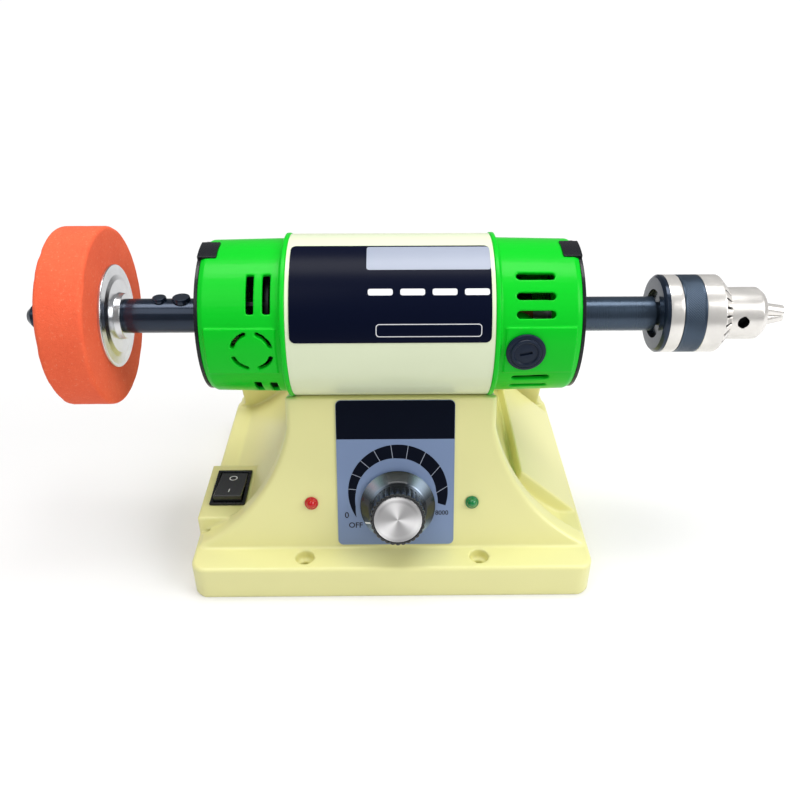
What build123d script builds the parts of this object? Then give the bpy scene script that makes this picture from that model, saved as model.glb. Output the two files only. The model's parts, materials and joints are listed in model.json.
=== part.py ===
from build123d import *
from math import cos, radians, sin, tan
import os

os.makedirs("parts", exist_ok=True)

# A small bench polishing and grinding machine: a two-ended universal motor lies on a moulded base.
# Millimetres. +X runs along the spindle towards the drill chuck, -Y is the operator's side, +Z is up.
# The origin is the centre of the base's underside.

# General fits
overrun = 5.0          # how far every cutter runs past what it cuts
running_fit = 0.05     # radial clearance where a shaft turns in its bore
seat_fit = 0.05        # clearance of pieces that are pressed or pushed together
free_gap = 0.3         # gap between faces that never touch

# Base housing
base_width = 229.0
base_depth = 180.0
base_corner_r = 9.0
lip_height = 21.7
lip_edge_r = 2.0
front_ledge = 18.0
base_wall = 3.0
base_top_z = 106.5
slope_deg = 72.0
neck_half_width = 59.0
neck_low_z = 89.0
flank_mid_x = 77.0
flank_mid_z = 50.5
flank_foot_x = 112.0
flank_foot_z = 22.8
frame_thickness = 11.0
scoop_depth = 4.0
rear_frame_x = 108.0
rear_frame_z = 42.0
flank_pad_setback = 48.0
flank_pad_rise = 6.0
boss_top_z = 32.5
boss_setback = 32.0
boss_length = 51.0
boss_inner_x = 86.0
front_edge_r = 3.0

# Bench screw holes in the front ledge
bench_hole_r = 2.9
bench_counterbore_r = 5.4
bench_counterbore_depth = 6.0
bench_hole_half_spacing = 50.0
bench_hole_inset = 10.0
bench_post_r = 8.4

# Motor axis and case
motor_from_front = 72.0
saddle_depth = 5.8
tube_r = 44.3
tube_wall = 2.5
tube_half_length = 53.2
cover_flare_rise = 0.5
flare_width = 2.6
cover_root_inset = 2.3
cover_taper = 0.8
cover_length = 44.4
cover_wall = 2.2
cover_edge_r = 2.5
spigot_length = 5.0
end_plate_thickness = 1.8
end_plate_inset = 1.1
end_plate_bore_r = 10.4
end_wall = 3.0
clip_length = 8.0
clip_low_deg = 72.0
clip_high_deg = 94.0
clip_rise = 0.7

# Vents
slot_width = 4.0
left_slot_setback = 26.6
left_slot_pitch = 8.4
left_slot_low_deg = 27.0
left_slot_high_deg = 56.0
left_low_slot_low_deg = -58.0
left_low_slot_high_deg = -32.0
ring_slot_outer_r = 11.2
ring_slot_inner_r = 9.0
ring_slot_bridge = 4.6
ring_slot_deg = 0.2
right_slot_setback = 23.8
right_slot_length = 20.0
right_slot_degs = (54.0, 39.0, 26.0)
right_low_slot_degs = (-27.0, -40.0)
pad_high_deg = 17.0
pad_low_deg = -19.0
pad_rise = 0.9
pad_inset = 3.0

# Label plate round the tube
label_low_deg = 8.0
label_high_deg = 79.0
label_thickness = 0.4
label_end_gap = 2.0

# Bearings, 12 x 28 x 8
shaft_r = 6.0
bearing_r = 14.0
bearing_width = 8.0
bearing_inner_r = 8.4
bearing_outer_bore_r = 11.6
bearing_shield = 0.8
bearing_seat_wall = 3.0

# Motor inside
stator_half_length = 25.0
stator_yoke = 6.5
air_gap = 0.6
armature_share = 0.52
pole_inset = 6.036
coil_width = 8.0
coil_gap = 1.0
armature_slot_count = 12
armature_slot_width = 3.0
armature_slot_depth = 7.0
winding_length = 13.0
winding_end_r = 11.0
commutator_r = 13.0
commutator_length = 16.0
commutator_setback = 28.6
commutator_bar_count = 12
commutator_cut = 0.8
fan_setback = 27.6
fan_width = 11.0
fan_edge_gap = 6.8
fan_disc = 2.0
fan_hub_r = 12.0
fan_blade_count = 10
fan_blade_thickness = 2.0
brush_holder_r = 6.2
brush_half_width = 3.4
brush_holder_inner = 16.0
brush_over_spring = 1.45
brush_spring_r = 2.6
brush_cap_r = 10.2
brush_cap_height = 2.4
brush_cap_flange = 1.2
brush_slot_width = 1.8
brush_slot_depth = 1.0
brush_neck_r = 5.6
brush_seat_r = 18.0

# Left spindle
arbor_r = 9.5
arbor_gap = 0.8
left_arbor_length = 45.8
set_screw_r = 3.0
set_screw_head_r = 4.0
set_screw_head_height = 1.9
set_screw_big_share = 1.25
set_screw_insets = (19.5, 31.5)
stud_r = 6.0
stud_length = 50.0
inner_flange_depth = 6.2
wheel_width = 24.8
wheel_r = 49.0
wheel_bore_r = 10.0
wheel_edge_r = 2.4
flange_r = 28.3
flange_rim_thickness = 1.6
flange_ring_r = 20.0
flange_ring_depth = 1.4
flange_hub_r = 12.5
flange_spigot_length = 8.0
nut_r = 9.2
nut_thickness = 9.0
nut_dome_r = 6.6
nut_height = 20.0

# Right spindle and keyed chuck
right_arbor_length = 45.2
chuck_back_gap = 0.5
chuck_r = 21.5
chuck_bevel = 1.5
chuck_neck_r = 13.5
chuck_recess = 2.5
chuck_rear_ring_length = 3.3
chuck_collar_length = 7.2
chuck_core_r = 18.5
chuck_core_length = 33.7
chuck_nose_r = 14.5
chuck_nose_length = 22.4
chuck_cone_length = 5.0
cone_shoulder_x_share = 0.6
cone_shoulder_r_share = 0.35
chuck_cone_r = 8.2
chuck_socket_r = 6.5
chuck_socket_depth = 14.0
chuck_bore_r = 3.4
sleeve_nose_length = 15.8
sleeve_gap = 0.3
sleeve_front_r = 15.9
sleeve_chamfer = 3.2
grip_band_length = 12.2
grip_band_depth = 0.9
grip_band_groove_count = 36
bevel_tooth_count = 26
bevel_tooth_width = 1.7
bevel_tooth_depth = 1.7
nut_ring_setback = 2.4
nut_ring_length = 6.0
nut_ring_inner_r = 15.6
jaw_r = 3.6
jaw_tilt_deg = 12.0
jaw_tip_length = 10.0
jaw_tip_axis_r = 1.2
jaw_body_length = 47.5
jaw_travel = 16.0
jaw_grip_r = 0.5
jaw_count = 3
jaw_side_gap = 0.15
jaw_start_deg = 65.0
key_hole_setback = 10.8
key_hole_r = 3.2
key_hole_floor_r = 9.6

# Control panel on the front slope
panel_middle_x = 2.3
panel_half_width = 33.3
panel_low_gap = 1.9
panel_top_gap = 2.0
panel_thickness = 0.8
panel_corner_r = 3.0
led_x = 46.0
led_z = 48.0
led_r = 2.9
led_collar_r = 3.8
led_collar = 1.0
led_tail = 7.0
knob_x = 3.4
knob_z = 46.8
knob_skirt_r = 21.5
knob_skirt_edge = 1.6
knob_shoulder_r = 15.2
knob_shoulder_height = 8.0
knob_grip_r = 14.2
knob_height = 21.0
knob_flute_count = 30
knob_flute_r = 0.8
knob_cap_r = 12.2
knob_cap_depth = 0.8
knob_gap = 0.6
knob_bore_depth = 13.0
pot_shaft_r = 3.0
pot_bush_r = 3.9
pot_body_r = 12.0
pot_body_depth = 10.0
pot_shaft_inner = 6.0
pot_nut_r = 6.6
pot_nut_thickness = 2.2

# Rocker switch in the boss on the left flank
switch_inset = 15.6
switch_setback = 59.4
switch_half_x = 10.7
switch_half_y = 16.4
switch_bezel = 1.6
switch_frame_width = 1.9
switch_body_depth = 15.0
switch_body_inset = 1.4
rocker_side_gap = 0.4
rocker_end_gap = 0.6
rocker_tilt_deg = 9.0
rocker_depth = 5.0
rocker_end_rise = 1.6
rocker_middle_rise = 0.8
rocker_pin_r = 1.2
terminal_width = 4.8
terminal_thickness = 0.8
terminal_length = 6.0
terminal_pitch = 9.0

# Underside
bottom_plate_thickness = 2.0
bottom_plate_gap = 0.3
foot_r = 8.0
foot_collar = 1.5
foot_collar_rise = 1.0
foot_inset = 16.5
plate_screw_r = 1.5
plate_screw_head_r = 3.0
plate_screw_head = 1.4
plate_screw_length = 9.0
plate_post_r = 4.0
plate_post_inset = 32.0
plate_vent_count = 7
plate_vent_pitch = 9.0
plate_vent_length = 34.0

# Speed control board inside the base
board_half_x = 34.0
board_half_y = 22.0
board_z = 40.0
board_setback = 56.0
board_thickness = 1.6
board_post_r = 3.6
board_post_x = 28.0
board_post_y = 17.0
board_screw_r = 1.4
board_screw_head_r = 2.7
board_screw_head = 1.6
heat_sink_fin_count = 6
heat_sink_fin_pitch = 4.0
heat_sink_fin = 1.2
heat_sink_height = 16.0
heat_sink_length = 26.0
heat_sink_plate = 2.0
heat_sink_x = 14.0
capacitor_r = 6.0
capacitor_height = 14.0
capacitor_x = -14.0
choke_r = 8.0
choke_hole_r = 3.5
choke_height = 9.0

# Cable gland in the rear wall
gland_inset = 54.5
gland_z = 34.0
gland_r = 7.5
gland_bore_r = 3.6
gland_flange_r = 10.0
gland_flange = 2.5
gland_depth = 9.0

# Motor screws that come up through the saddle
mount_screw_x = 36.0
mount_screw_r = 2.0
mount_screw_head_r = 4.0
mount_screw_head = 2.4

# Everything below is worked out from the sizes above
half_width = base_width / 2
half_depth = base_depth / 2
motor_y = motor_from_front - half_depth
motor_z = base_top_z + tube_r - saddle_depth
bench_hole_y = bench_hole_inset - half_depth
boss_front_y = boss_setback - half_depth
boss_rear_y = boss_front_y + boss_length
switch_x = switch_inset - half_width
switch_y = switch_setback - half_depth
board_y = half_depth - board_setback
gland_x = gland_inset - half_width
slope_run = (base_top_z - lip_height) / tan(radians(slope_deg))
front_foot_y = front_ledge - half_depth
panel_low_z = lip_height + panel_low_gap
panel_high_z = base_top_z - panel_top_gap

# Motor, from the tube outwards and inwards
tube_bore_r = tube_r - tube_wall
cover_flare_r = tube_r + cover_flare_rise
cover_root_r = tube_r - cover_root_inset
cover_end_r = cover_root_r - cover_taper
end_plate_r = cover_end_r - end_plate_inset
cover_end_x = tube_half_length + cover_length
cover_start_x = tube_half_length
bearing_face_x = cover_end_x - end_wall - bearing_width
left_slot_first_x = left_slot_setback - cover_end_x
right_slot_middle_x = cover_end_x - right_slot_setback
armature_r = tube_r * armature_share
pole_half_width = armature_r - pole_inset
commutator_x = cover_end_x - commutator_setback
brush_foot_r = commutator_r + seat_fit
spring_top_r = cover_root_r - brush_cap_height
brush_length = (spring_top_r - brush_foot_r + brush_over_spring) / 2
fan_x = fan_setback - cover_end_x
fan_r = tube_bore_r - fan_edge_gap

# Left spindle, from the cover to the nut
arbor_start_x = cover_end_x + end_plate_thickness + arbor_gap
left_arbor_end_x = -arbor_start_x - left_arbor_length
set_screw_xs = [left_arbor_end_x + inset for inset in set_screw_insets]
stud_end_x = left_arbor_end_x - stud_length
wheel_right_x = left_arbor_end_x - inner_flange_depth
wheel_left_x = wheel_right_x - wheel_width
nut_start_x = wheel_left_x - flange_rim_thickness - flange_ring_depth
nut_tip_x = nut_start_x - nut_height

# Right spindle, from the cover to the tips of the jaws
right_arbor_end_x = arbor_start_x + right_arbor_length
chuck_back_x = right_arbor_end_x + chuck_back_gap
chuck_rear_ring_end_x = chuck_back_x + chuck_rear_ring_length
chuck_collar_end_x = chuck_rear_ring_end_x + chuck_collar_length
grip_band_end_x = chuck_collar_end_x + grip_band_length
sleeve_end_x = grip_band_end_x + sleeve_nose_length
sleeve_chamfer_x = sleeve_end_x - sleeve_chamfer
nut_ring_start_x = grip_band_end_x + nut_ring_setback
nut_ring_end_x = nut_ring_start_x + nut_ring_length
chuck_core_end_x = chuck_back_x + chuck_core_length
chuck_nose_end_x = chuck_core_end_x + chuck_nose_length
chuck_cone_end_x = chuck_nose_end_x + chuck_cone_length
key_hole_x = chuck_nose_end_x - key_hole_setback
jaw_tip_x = chuck_cone_end_x + jaw_tip_length
jaw_tail_x = jaw_tip_x - jaw_body_length


def at_motor(shape):
    return Pos(0, motor_y, motor_z) * shape


def ring_profile(points):
    # Turns a closed outline of (x, radius) points about the X axis
    return revolve(make_face(Polyline(*points, close=True)), Axis.X)


def rod(radius, start_x, end_x):
    return Pos((start_x + end_x) / 2, 0, 0) * Rot(0, 90, 0) * Cylinder(radius, end_x - start_x)


def pipe(outer, inner, start_x, end_x):
    return rod(outer, start_x, end_x) - rod(inner, start_x - overrun, end_x + overrun)


def turned(angle_deg, shape):
    # Carries a shape from the front horizontal line up round the X axis
    return Rot(-angle_deg, 0, 0) * shape


def ring_sector(start_x, end_x, inner, outer, low_deg, high_deg):
    outline = Polyline((start_x, -inner), (end_x, -inner), (end_x, -outer), (start_x, -outer), close=True)
    return turned(high_deg, revolve(make_face(outline), Axis.X, high_deg - low_deg))


def around(count, make, first_deg=0.0):
    return [turned(first_deg + step * 360.0 / count, make()) for step in range(count)]


def mirrored_x(shape):
    return mirror(shape, Plane.YZ)


def flank_outline(inset, top_z, low_z):
    # Front view of the pedestal: a straight neck that sweeps out into a wide foot
    half = neck_half_width - inset
    mid = (flank_mid_x - inset, flank_mid_z - inset)
    foot = (flank_foot_x - inset, flank_foot_z - inset)
    right = [Line((half, top_z), (half, neck_low_z)),
             ThreePointArc((half, neck_low_z), mid, foot),
             Line(foot, (foot[0], low_z))]
    left = [mirror(edge, Plane.YZ) for edge in right]
    edges = right + left + [Line((half, top_z), (-half, top_z)), Line((foot[0], low_z), (-foot[0], low_z))]
    return make_face(Wire(Curve() + edges))


def rear_outline():
    # The rear wall stands wider than the neck in front of it
    top = neck_half_width + scoop_depth
    right = [Line((top, base_top_z), (top, neck_low_z)),
             Line((top, neck_low_z), (rear_frame_x, rear_frame_z)),
             Line((rear_frame_x, rear_frame_z), (rear_frame_x, 0))]
    left = [mirror(edge, Plane.YZ) for edge in right]
    edges = right + left
    edges += [Line((top, base_top_z), (-top, base_top_z)), Line((rear_frame_x, 0), (-rear_frame_x, 0))]
    return make_face(Wire(Curve() + edges))


def upright(face, start_y, end_y):
    # Stands a front view up in the XZ plane and runs it from one depth to another
    return Pos(0, end_y, 0) * Rot(90, 0, 0) * extrude(face, end_y - start_y)


def side_slab(inset, width):
    # Side view of the pedestal between its sloping front and back, run across the width
    shift = inset / sin(radians(slope_deg))
    top = base_top_z - inset
    reach = (top - lip_height) / tan(radians(slope_deg))
    low = front_foot_y + shift
    high = half_depth - shift
    outline = Polyline((low, 0), (low, lip_height), (low + reach, top), (high - reach, top),
                       (high, lip_height), (high, 0), close=True)
    side = extrude(make_face(outline), width / 2, both=True)
    return Rot(0, 0, 90) * Rot(90, 0, 0) * side


def base_lip():
    slab = extrude(RectangleRounded(base_width, base_depth, base_corner_r), lip_height)
    return fillet(slab.faces().sort_by(Axis.Z)[-1].edges(), lip_edge_r)


def scoops():
    # The flanks are sunk between the front and rear frames
    inner = side_slab(frame_thickness, base_width + overrun)
    deep = upright(flank_outline(scoop_depth, base_top_z + overrun, 0), -half_depth, half_depth)
    blank = upright(flank_outline(-scoop_depth, base_top_z + overrun, 0), -half_depth, half_depth)
    return (blank - deep) & inner


def right_flank_pad():
    # A plain sloping pad fills the middle of the right flank
    rear_y = half_depth - frame_thickness * 2
    outline = Polyline((flank_foot_x, flank_foot_z), (flank_mid_x, flank_mid_z + flank_pad_rise / 2),
                       (flank_mid_x - scoop_depth * 2, lip_height), (flank_foot_x, lip_height), close=True)
    return upright(make_face(outline), flank_pad_setback - half_depth, rear_y)


def switch_boss():
    width = half_width - boss_inner_x
    middle = Pos(-(boss_inner_x + half_width) / 2, (boss_front_y + boss_rear_y) / 2, boss_top_z / 2)
    return middle * Box(width, boss_length, boss_top_z)


def saddle(extra):
    trough = rod(tube_r + seat_fit + extra, -tube_half_length, tube_half_length)
    flare = rod(cover_flare_r + free_gap + extra, -cover_end_x, -tube_half_length + extra)
    flare += mirrored_x(flare)
    return at_motor(trough + flare)


def on_front_frame(edge):
    # The long edges between the front slope and the flanks
    middle = edge.center()
    outside = abs(middle.X) > neck_half_width - lip_edge_r
    in_front = middle.Y < min(front_foot_y + slope_run, 0)
    return outside and in_front and middle.Z > lip_height and edge.length > front_edge_r * 4


def base_shell():
    outer = base_lip()
    pedestal = upright(flank_outline(0, base_top_z, 0), -half_depth, half_depth) & side_slab(0, base_width)
    pedestal = fillet(pedestal.edges().filter_by(on_front_frame), front_edge_r)
    pedestal -= scoops()
    rear = upright(rear_outline(), half_depth - slope_run - frame_thickness, half_depth)
    rear &= side_slab(0, base_width) - side_slab(frame_thickness, base_width + overrun)
    outer += pedestal + rear + right_flank_pad() + switch_boss()
    return outer


def base_cavity():
    low = extrude(RectangleRounded(base_width - base_wall * 2, base_depth - base_wall * 2,
                                   base_corner_r - base_wall), lip_height - base_wall)
    tall = upright(flank_outline(base_wall + scoop_depth, base_top_z, 0), -half_depth, half_depth)
    tall &= side_slab(base_wall, base_width)
    inner_length = boss_length - base_wall * 2
    boss_width = half_width - boss_inner_x - base_wall
    boss = Pos(-(half_width + boss_inner_x) / 2, (boss_front_y + boss_rear_y) / 2,
               (boss_top_z - base_wall) / 2) * Box(boss_width, inner_length, boss_top_z - base_wall)
    return low + tall + boss - saddle(base_wall)


def slope_plane(x, z):
    # A plane on the front slope whose Z points out of the panel and whose X runs to the right
    y = front_foot_y + (z - lip_height) / tan(radians(slope_deg))
    return Plane(origin=(x, y, z), x_dir=(1, 0, 0),
                 z_dir=(0, -sin(radians(slope_deg)), cos(radians(slope_deg))))


def slope_rod(x, z, radius, low, high):
    return slope_plane(x, z) * Pos(0, 0, (low + high) / 2) * Cylinder(radius, high - low)


def corners(half_x, half_y):
    return [(sign_x * half_x, sign_y * half_y) for sign_x in (-1, 1) for sign_y in (-1, 1)]


def posts(places, radius, low_z, high_z):
    middle = (low_z + high_z) / 2
    return [Pos(x, y, middle) * Cylinder(radius, high_z - low_z) for x, y in places]


plate_top_z = bottom_plate_thickness
plate_places = corners(half_width - plate_post_inset, half_depth - plate_post_inset)
foot_places = corners(half_width - foot_inset, half_depth - foot_inset)
board_places = [(x, y + board_y) for x, y in corners(board_post_x, board_post_y)]
bench_places = [(-bench_hole_half_spacing, bench_hole_y), (bench_hole_half_spacing, bench_hole_y)]
mount_places = [(-mount_screw_x, motor_y), (mount_screw_x, motor_y)]
tube_low_z = motor_z - tube_r
half_turn = 180.0


def switch_pocket(inset, low_z, high_z):
    width = (switch_half_x - inset) * 2
    length = (switch_half_y - inset) * 2
    return Pos(switch_x, switch_y, (low_z + high_z) / 2) * Box(width, length, high_z - low_z)


def gland_rod(radius, start_y, end_y):
    turn = Pos(gland_x, (start_y + end_y) / 2, gland_z) * Rot(90, 0, 0)
    return turn * Cylinder(radius, end_y - start_y)


def base_housing():
    shell = base_shell() - base_cavity()
    post_top = lip_height - base_wall / 2
    shell += posts(bench_places, bench_post_r, plate_top_z, post_top)
    shell += posts(plate_places, plate_post_r, plate_top_z, post_top)
    shell -= saddle(0)
    shell -= posts(bench_places, bench_hole_r, -overrun, lip_height + overrun)
    shell -= posts(bench_places, bench_counterbore_r, lip_height - bench_counterbore_depth,
                   lip_height + overrun)
    shell -= posts(plate_places, plate_screw_r, -overrun, plate_screw_length)
    for side in (-1, 1):
        shell -= slope_rod(side * led_x, led_z, led_r + seat_fit, -base_wall * 2, overrun)
    shell -= slope_rod(knob_x, knob_z, pot_bush_r + seat_fit, -base_wall * 2, overrun)
    shell -= switch_pocket(switch_body_inset - seat_fit, 0, boss_top_z + overrun)
    shell -= gland_rod(gland_r + seat_fit, half_depth - base_depth / 4, half_depth + overrun)
    shell -= posts(mount_places, mount_screw_r + seat_fit, tube_low_z - base_wall * 2, motor_z)
    return biggest(shell)


def biggest(shape):
    return shape.solids().sort_by(SortBy.VOLUME)[-1]


def bottom_plate():
    reach = (base_wall + bottom_plate_gap) * 2
    plate = RectangleRounded(base_width - reach, base_depth - reach, base_corner_r - base_wall)
    plate = extrude(plate, bottom_plate_thickness)
    plate -= posts(bench_places, bench_hole_r, -overrun, base_wall + overrun)
    plate -= posts(plate_places, plate_screw_r + seat_fit, -overrun, base_wall + overrun)
    plate -= posts(plate_places, plate_screw_head_r + seat_fit, -overrun, plate_screw_head)
    plate -= posts(foot_places, foot_r + seat_fit, -overrun, base_wall + overrun)
    vents = GridLocations(plate_vent_pitch, 0, plate_vent_count, 1)
    for place in vents:
        slot = extrude(SlotOverall(plate_vent_length, slot_width, rotation=90), base_wall + overrun)
        plate -= place * Pos(0, board_y, 0) * slot
    return plate


def rubber_feet():
    feet = []
    for x, y in foot_places:
        pad = Pos(x, y, plate_top_z / 2) * Cylinder(foot_r, plate_top_z)
        collar = Pos(x, y, plate_top_z + foot_collar_rise / 2)
        collar = collar * Cylinder(foot_r + foot_collar, foot_collar_rise)
        feet.append(pad + collar)
    return feet


def plate_screws():
    heads = posts(plate_places, plate_screw_head_r, 0, plate_screw_head)
    shanks = posts(plate_places, plate_screw_r - seat_fit, plate_screw_head, plate_screw_length - seat_fit)
    return [head + shank for head, shank in zip(heads, shanks)]


def mount_screws():
    screws = []
    for x, y in mount_places:
        low = tube_low_z - seat_fit - base_wall - mount_screw_head
        head = Pos(x, y, low + mount_screw_head / 2) * Cylinder(mount_screw_head_r, mount_screw_head)
        top = tube_low_z + tube_wall - seat_fit
        shank = Pos(x, y, (low + mount_screw_head + top) / 2)
        screws.append(head + shank * Cylinder(mount_screw_r - seat_fit, top - low - mount_screw_head))
    return screws


def cable_gland():
    low = half_depth - gland_depth
    gland = gland_rod(gland_r, low, half_depth)
    gland += gland_rod(gland_flange_r, half_depth, half_depth + gland_flange)
    return gland - gland_rod(gland_bore_r, low - overrun, half_depth + gland_flange + overrun)


def control_plate():
    slope_length = (panel_high_z - panel_low_z) / sin(radians(slope_deg))
    middle = slope_plane(panel_middle_x, (panel_high_z + panel_low_z) / 2)
    face = RectangleRounded(panel_half_width * 2, slope_length, panel_corner_r)
    plate = middle * extrude(face, panel_thickness)
    return plate - slope_rod(knob_x, knob_z, pot_bush_r + seat_fit, -overrun, overrun)


def led(side):
    body = slope_rod(side * led_x, led_z, led_r, -led_tail, led_collar)
    collar = slope_rod(side * led_x, led_z, led_collar_r, 0, led_collar)
    dome = Sphere(led_r) & Pos(0, 0, led_r) * Box(led_r * 2, led_r * 2, led_r * 2)
    dome = slope_plane(side * led_x, led_z) * Pos(0, 0, led_collar) * dome
    return body + collar + dome


def pot_body():
    inside = -base_wall
    can = slope_rod(knob_x, knob_z, pot_body_r, inside - pot_body_depth, inside)
    bush = slope_rod(knob_x, knob_z, pot_bush_r, inside, panel_thickness + pot_nut_thickness + knob_gap)
    shaft_hole = slope_rod(knob_x, knob_z, pot_shaft_r + running_fit, inside - pot_shaft_inner, overrun)
    return can + bush - shaft_hole


def pot_nut():
    outer = slope_plane(knob_x, knob_z) * Pos(0, 0, panel_thickness)
    nut = outer * extrude(RegularPolygon(pot_nut_r, 6), pot_nut_thickness)
    return nut - slope_rod(knob_x, knob_z, pot_bush_r + seat_fit, -overrun, overrun)


def pot_shaft():
    low = -base_wall - pot_shaft_inner + free_gap
    return slope_rod(knob_x, knob_z, pot_shaft_r, low, panel_thickness + knob_bore_depth)


def knob():
    base = panel_thickness + knob_gap
    top = panel_thickness + knob_height
    shoulder = base + knob_shoulder_height
    profile = Polyline((0, base), (knob_skirt_r, base), (knob_skirt_r, base + knob_skirt_edge),
                       (knob_shoulder_r, shoulder), (knob_grip_r, shoulder), (knob_grip_r, top),
                       (0, top), close=True)
    body = revolve(Rot(90, 0, 0) * make_face(profile), Axis.Z)
    flute = Cylinder(knob_flute_r, top - shoulder)
    for place in PolarLocations(knob_grip_r, knob_flute_count):
        body -= place * Pos(0, 0, (top + shoulder) / 2) * flute
    body -= Pos(0, 0, top) * Cylinder(knob_cap_r, knob_cap_depth * 2)
    nut_room = (panel_thickness + pot_nut_thickness + knob_gap * 3) * 2
    body -= Cylinder(pot_nut_r + knob_gap, nut_room)
    body -= Cylinder(pot_shaft_r + seat_fit, (panel_thickness + knob_bore_depth + seat_fit) * 2)
    return slope_plane(knob_x, knob_z) * body


def knob_cap():
    top = panel_thickness + knob_height
    return slope_rod(knob_x, knob_z, knob_cap_r - seat_fit, top - knob_cap_depth, top)


def switch_frame():
    bezel = switch_pocket(0, boss_top_z, boss_top_z + switch_bezel)
    body = switch_pocket(switch_body_inset, boss_top_z - switch_body_depth, boss_top_z)
    inside = switch_pocket(switch_frame_width, boss_top_z - rocker_depth - switch_bezel,
                           boss_top_z + overrun)
    frame = bezel + body - inside
    low = boss_top_z - switch_body_depth - terminal_length
    for step in (-1, 0, 1):
        blade = Box(terminal_width, terminal_thickness, terminal_length)
        frame += Pos(switch_x, switch_y + step * terminal_pitch, low + terminal_length / 2) * blade
    pin = Pos(switch_x, switch_y, boss_top_z) * Rot(0, 90, 0)
    return frame + pin * Cylinder(rocker_pin_r, (switch_half_x - switch_frame_width) * 2)


def rocker():
    half_length = switch_half_y - switch_frame_width - rocker_end_gap
    width = (switch_half_x - switch_frame_width - rocker_side_gap) * 2
    end_z = switch_bezel + rocker_end_rise
    middle_z = switch_bezel + rocker_middle_rise
    low_z = -rocker_depth / 2
    outline = Polyline((-half_length, low_z / 2), (-half_length, end_z), (0, middle_z),
                       (half_length, end_z), (half_length, low_z / 2), (half_length / 2, low_z),
                       (-half_length / 2, low_z), close=True)
    paddle = Rot(0, 0, 90) * Rot(90, 0, 0) * extrude(make_face(outline), width / 2, both=True)
    paddle -= Rot(0, 90, 0) * Cylinder(rocker_pin_r + running_fit, width + overrun)
    return Pos(switch_x, switch_y, boss_top_z) * Rot(-rocker_tilt_deg, 0, 0) * paddle


def control_board():
    board = Pos(0, board_y, board_z + board_thickness / 2)
    board = board * Box(board_half_x * 2, board_half_y * 2, board_thickness)
    return board - posts(board_places, board_screw_r + seat_fit, board_z - overrun, board_z + overrun)


def board_pillars():
    pillars = posts(board_places, board_post_r, plate_top_z, board_z)
    holes = posts(board_places, board_screw_r, board_z / 2, board_z + overrun)
    return [pillar - hole for pillar, hole in zip(pillars, holes)]


def board_screws():
    top = board_z + board_thickness
    heads = posts(board_places, board_screw_head_r, top, top + board_screw_head)
    shanks = posts(board_places, board_screw_r - seat_fit, board_z / 2 + overrun, top)
    return [head + shank for head, shank in zip(heads, shanks)]


def heat_sink():
    top = board_z + board_thickness
    foot = Pos(heat_sink_x, board_y, top + heat_sink_plate / 2)
    sink = foot * Box((heat_sink_fin_count - 1) * heat_sink_fin_pitch + heat_sink_fin, heat_sink_length,
                      heat_sink_plate)
    for place in GridLocations(heat_sink_fin_pitch, 0, heat_sink_fin_count, 1):
        fin = Box(heat_sink_fin, heat_sink_length, heat_sink_height)
        sink += place * Pos(heat_sink_x, board_y, top + heat_sink_height / 2) * fin
    return sink


def board_parts():
    top = board_z + board_thickness
    capacitor = Pos(capacitor_x, board_y, top + capacitor_height / 2)
    capacitor = capacitor * Cylinder(capacitor_r, capacitor_height)
    choke = Cylinder(choke_r, choke_height) - Cylinder(choke_hole_r, choke_height + overrun)
    choke = Pos(capacitor_x, board_y - capacitor_r - choke_r, top + choke_height / 2) * choke
    return [capacitor, choke]


def motor_tube():
    tube = pipe(tube_r, tube_bore_r, -tube_half_length, tube_half_length)
    for x in (-mount_screw_x, mount_screw_x):
        tube -= Pos(x, 0, -tube_r) * Cylinder(mount_screw_r, tube_wall * 4)
    return at_motor(tube)


def label_plate():
    half = tube_half_length - label_end_gap
    inner = tube_r + seat_fit
    return at_motor(ring_sector(-half, half, inner, inner + label_thickness, label_low_deg, label_high_deg))


def cover_body():
    # The right-hand cover: a turned shell with a flare, a spigot and a bearing seat
    start = cover_start_x
    end = cover_end_x
    inner = tube_bore_r - seat_fit - cover_wall
    inner_end = end - end_wall
    seat_r = bearing_r + bearing_seat_wall
    seat_start = bearing_face_x
    taper = cover_end_r - cover_wall
    shell = ring_profile([
        (start - spigot_length, inner), (start - spigot_length, tube_bore_r - seat_fit),
        (start, tube_bore_r - seat_fit), (start, cover_flare_r), (start + flare_width, cover_flare_r),
        (start + flare_width, cover_root_r), (end - cover_edge_r, cover_end_r),
        (end, cover_end_r - cover_edge_r / 2),
        (end, end_plate_bore_r), (inner_end, end_plate_bore_r), (inner_end, bearing_r + seat_fit),
        (seat_start, bearing_r + seat_fit), (seat_start, seat_r), (inner_end - end_wall / 2, seat_r),
        (inner_end - end_wall / 2, taper - cover_wall), (inner_end - end_wall * 2, taper),
        (start + flare_width, inner + (cover_root_r - tube_bore_r) / 2)])
    pad = ring_sector(start + flare_width + pad_inset, end - pad_inset, cover_end_r - cover_wall,
                      cover_root_r + pad_rise, pad_low_deg, pad_high_deg)
    return shell + pad


def radial_slot(middle_x, length, middle_deg):
    slot = extrude(SlotOverall(length, slot_width), tube_r)
    return turned(middle_deg, Pos(middle_x, -cover_end_r / 2, 0) * Rot(90, 0, 0) * slot)


def hoop_slot(middle_x, low_deg, high_deg):
    inner = cover_end_r / 2
    return ring_sector(middle_x - slot_width / 2, middle_x + slot_width / 2, inner, tube_r + overrun,
                       low_deg, high_deg)


def ring_slots():
    flat = Circle(ring_slot_outer_r) - Circle(ring_slot_inner_r)
    flat -= Rectangle(ring_slot_outer_r * 3, ring_slot_bridge)
    flat -= Rectangle(ring_slot_bridge, ring_slot_outer_r * 3)
    cutter = Rot(90, 0, 0) * extrude(flat, tube_r)
    return turned(ring_slot_deg, Pos(left_slot_first_x, -cover_end_r / 2, 0) * cutter)


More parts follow.
